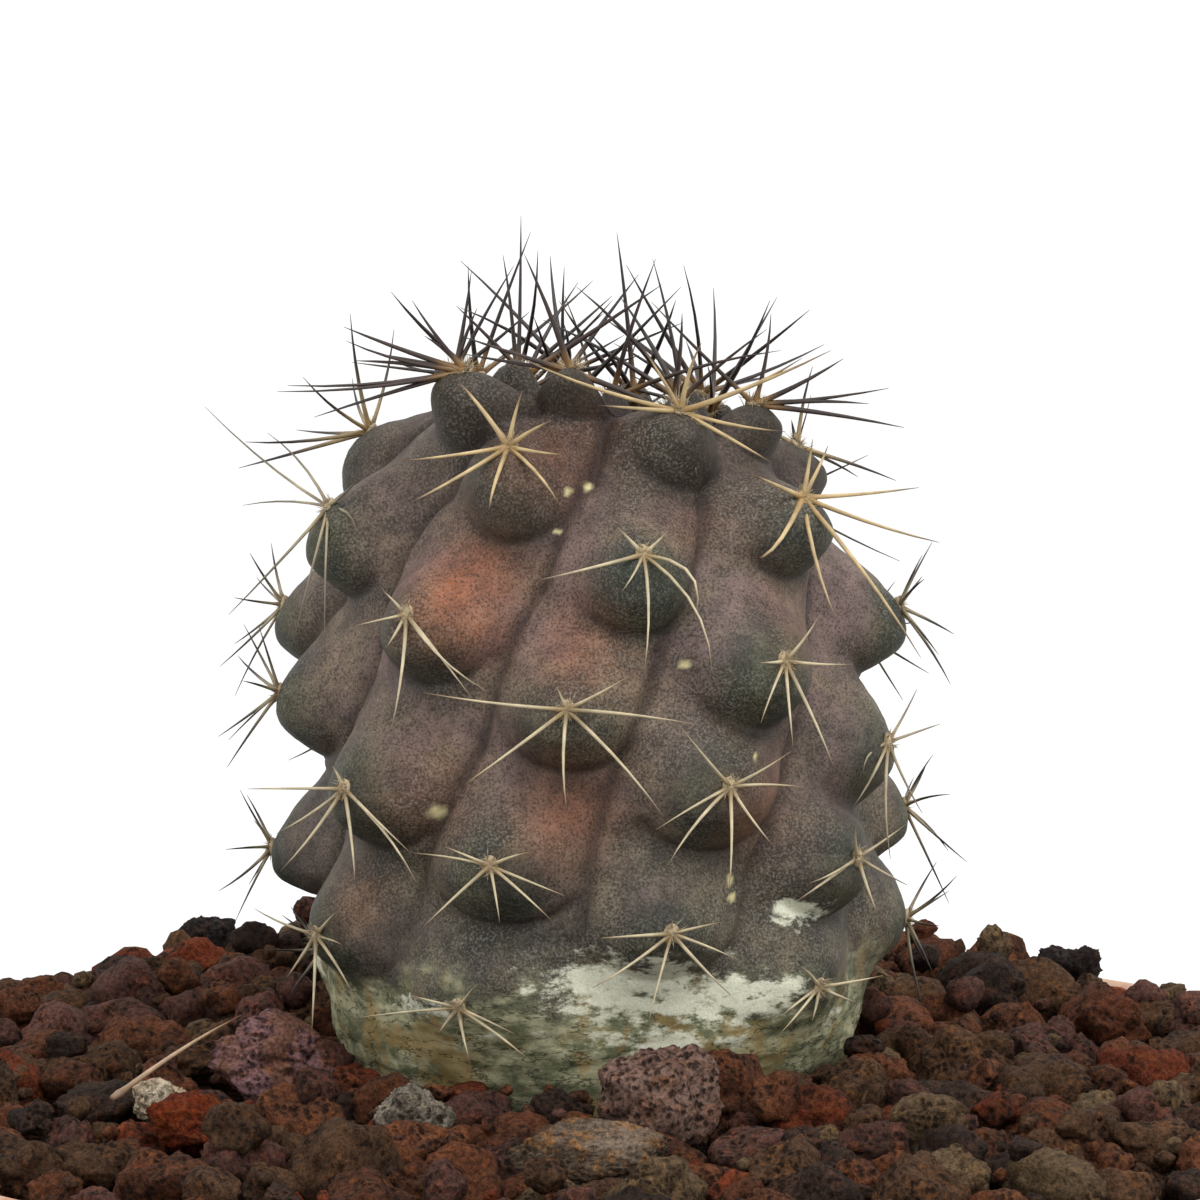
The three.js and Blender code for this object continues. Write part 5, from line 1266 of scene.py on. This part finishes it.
def areole_felt():
    """Areole wool: matted dry plant fibre, matt and soft, so it has a little sheen and a broken surface."""
    material, tree, shader = new_material(
        "areole_felt", IOR=1.5, Metallic=0.0, Roughness=0.95, Sheen_Weight=0.3)
    place = add_node(tree, "TexCoord").outputs["Object"]
    tufts = add_node(tree, "TexNoise", {"Vector": place, "Scale": per_metre(0.35), "Detail": 4.0})
    patch = add_node(tree, "MapRange", {"Value": tufts, "From Min": 0.35, "From Max": 0.65})
    colour = add_node(tree, "Mix", {
        "Factor": patch, "A": linear("#8a765a"), "B": linear("#c4b18d")}, data_type="RGBA")
    relief = add_node(tree, "Bump", {"Height": tufts, "Strength": 0.8, "Distance": 0.05 * MM})
    connect(tree, shader, {"Base Color": colour, "Normal": relief})
    return material


def make_areoles():
    """A felted pad with its standing fibres on every tubercle."""
    draw = np.random.default_rng(WOOL_SEED)
    ball, ball_faces = BALLS[PAD_DETAIL]
    parts = []
    for t in TUBERCLES:
        start = skin_at(np.array([t["turn"]]), np.array([t["s"]]))[0]
        upward, outward, sideways = directions_at(t)
        wide = sideways * AREOLE_WIDTH
        high = upward * AREOLE_HEIGHT * TALLER_AREOLES.get(t["n"], 1)
        parts.append((start + ball @ np.array([wide, high, outward * AREOLE_THICK]), ball_faces))
        woolly = 1 + WOOLLIER * smoothstep(WOOLLIER_FROM, WOOLLIER_FULL, t["s"])
        for _ in range(int(FIBRES_EACH * woolly)):
            angle = draw.uniform(0, 2 * math.pi)
            away = (math.cos(angle) * wide + math.sin(angle) * high) * math.sqrt(draw.random())
            root = start + away * FIBRES_WITHIN + outward * FIBRES_UP
            lean = outward * draw.uniform(*LEAN_OUT) + away * LEAN_AWAY + draw.normal(size=3) * LEAN_ANYWHERE
            tip = root + unit(lean) * FIBRE_LENGTH * draw.uniform(*FIBRE_LENGTHS_VARY) * woolly
            side = unit(np.cross(tip - root, outward + ASIDE)) * FIBRE_THICK
            other = unit(np.cross(side, tip - root)) * FIBRE_THICK
            corners = np.array([root + side, root - 0.5 * side + other, root - 0.5 * side - other, tip])
            parts.append((corners, [(0, 1, 3), (1, 2, 3), (2, 0, 3), (0, 2, 1)]))
    points, faces = joined(parts)
    new_piece("areole_wool", points, faces, areole_felt(), ["cactus_stem_with_spines"])


make_areoles()

# Fallen spine
# A spine that dropped off and lies across the gravel at the left, dry and greyed.

# Its ends: x, y and height over the gravel. It bows up a little.
FALLEN_FROM, FALLEN_TO = (-24.0, -17.6, 2.0), (-18.6, -9.6, 4.0)
FALLEN_THICK, FALLEN_BOW = 0.15, 0.02


def make_fallen_spine():
    ends = [np.array([x, y, gravel_height(x, y) + rise]) for x, y, rise in (FALLEN_FROM, FALLEN_TO)]
    up = np.array([0, 0, 1.0])
    points, faces, along = needle(ends[0], ends[1] - ends[0], up, FALLEN_BOW * up, FALLEN_THICK)
    material = horny_spine("greyed_dry_spine", "#8a7056", "#b09476", "#957053")
    fallen = new_piece("dry_fallen_spine", points, faces, material, ["fallen_spine"])
    mark(fallen, "along", along)


make_fallen_spine()

# Studio
# A plain white floor, soft white light from all round, a broad soft lamp above, and the photograph's camera.

FLOOR_WIDTH = 4.0
SKY_BRIGHTNESS = 1.12
GROUND_BRIGHTNESS = 0.35
# The light goes over from the ground's to the sky's between these heights of a view's direction.
HORIZON_FROM, HORIZON_TO = -0.25, -0.02
LAMP_PLACE, LAMP_AIM = (0.14, -0.22, 0.55), (0, 0, 0.09)
LAMP_WIDTH, LAMP_WATTS = 0.30, 1.2
# The camera's place in millimetres, how far it looks down in degrees, and its lens in millimetres.
CAMERA_X, CAMERA_Y, CAMERA_Z = -0.38, -260, 118.7
CAMERA_PITCH = 5.70
LENS, SENSOR_WIDTH = 150.15, 36


def white_floor():
    """Matt white studio board: even, without gloss, and very slightly mottled."""
    material, tree, shader = new_material(
        "matt_white_board", IOR=1.45, Roughness=0.9, Specular_IOR_Level=0.0)
    place = add_node(tree, "TexCoord").outputs["Object"]
    mottle = add_node(tree, "TexNoise", {"Vector": place, "Scale": per_metre(30)})
    colour = add_node(tree, "Mix", {
        "Factor": mottle, "A": linear("#f6f6f5"), "B": linear("#f9f9f8")}, data_type="RGBA")
    connect(tree, shader, {"Base Color": colour})
    return material


def make_studio():
    """The floor, the light from all round, the lamp and the camera."""
    half = FLOOR_WIDTH / 2
    mesh = bpy.data.meshes.new("studio_floor")
    corners = [(-half, -half, 0), (half, -half, 0), (half, half, 0), (-half, half, 0)]
    mesh.from_pydata(corners, [], [(0, 1, 2, 3)])
    mesh.materials.append(white_floor())
    floor = bpy.data.objects.new("studio_floor", mesh)
    bpy.context.scene.collection.objects.link(floor)
    floor.visible_diffuse = False

    world = bpy.data.worlds.new("studio_light")
    world.use_nodes = True
    tree = world.node_tree
    place = add_node(tree, "TexCoord").outputs["Generated"]
    height = add_node(tree, "SeparateXYZ", {"Vector": place}).outputs["Z"]
    sky = add_node(tree, "MapRange", {
        "Value": height, "From Min": HORIZON_FROM, "From Max": HORIZON_TO, "To Min": GROUND_BRIGHTNESS,
        "To Max": SKY_BRIGHTNESS}, interpolation_type="SMOOTHSTEP")
    background = tree.nodes["Background"]
    background.inputs["Color"].default_value = (1, 1, 1, 1)
    connect(tree, background, {"Strength": sky})
    bpy.context.scene.world = world

    lamp = bpy.data.lights.new("soft_lamp", "AREA")
    lamp.shape = "DISK"
    lamp.size = LAMP_WIDTH
    lamp.energy = LAMP_WATTS
    key = bpy.data.objects.new("soft_lamp", lamp)
    key.location = LAMP_PLACE
    key.rotation_euler = (Vector(LAMP_AIM) - Vector(LAMP_PLACE)).to_track_quat("-Z", "Y").to_euler()
    bpy.context.scene.collection.objects.link(key)

    lens = bpy.data.cameras.new("photo_camera")
    lens.lens = LENS
    lens.sensor_width = SENSOR_WIDTH
    lens.clip_start = 0.01
    camera = bpy.data.objects.new("photo_camera", lens)
    camera.location = (CAMERA_X * MM, CAMERA_Y * MM, CAMERA_Z * MM)
    camera.rotation_euler = (math.radians(90 - CAMERA_PITCH), 0, 0)
    bpy.context.scene.collection.objects.link(camera)
    bpy.context.scene.camera = camera
    bpy.context.scene.view_settings.view_transform = "Standard"


make_studio()
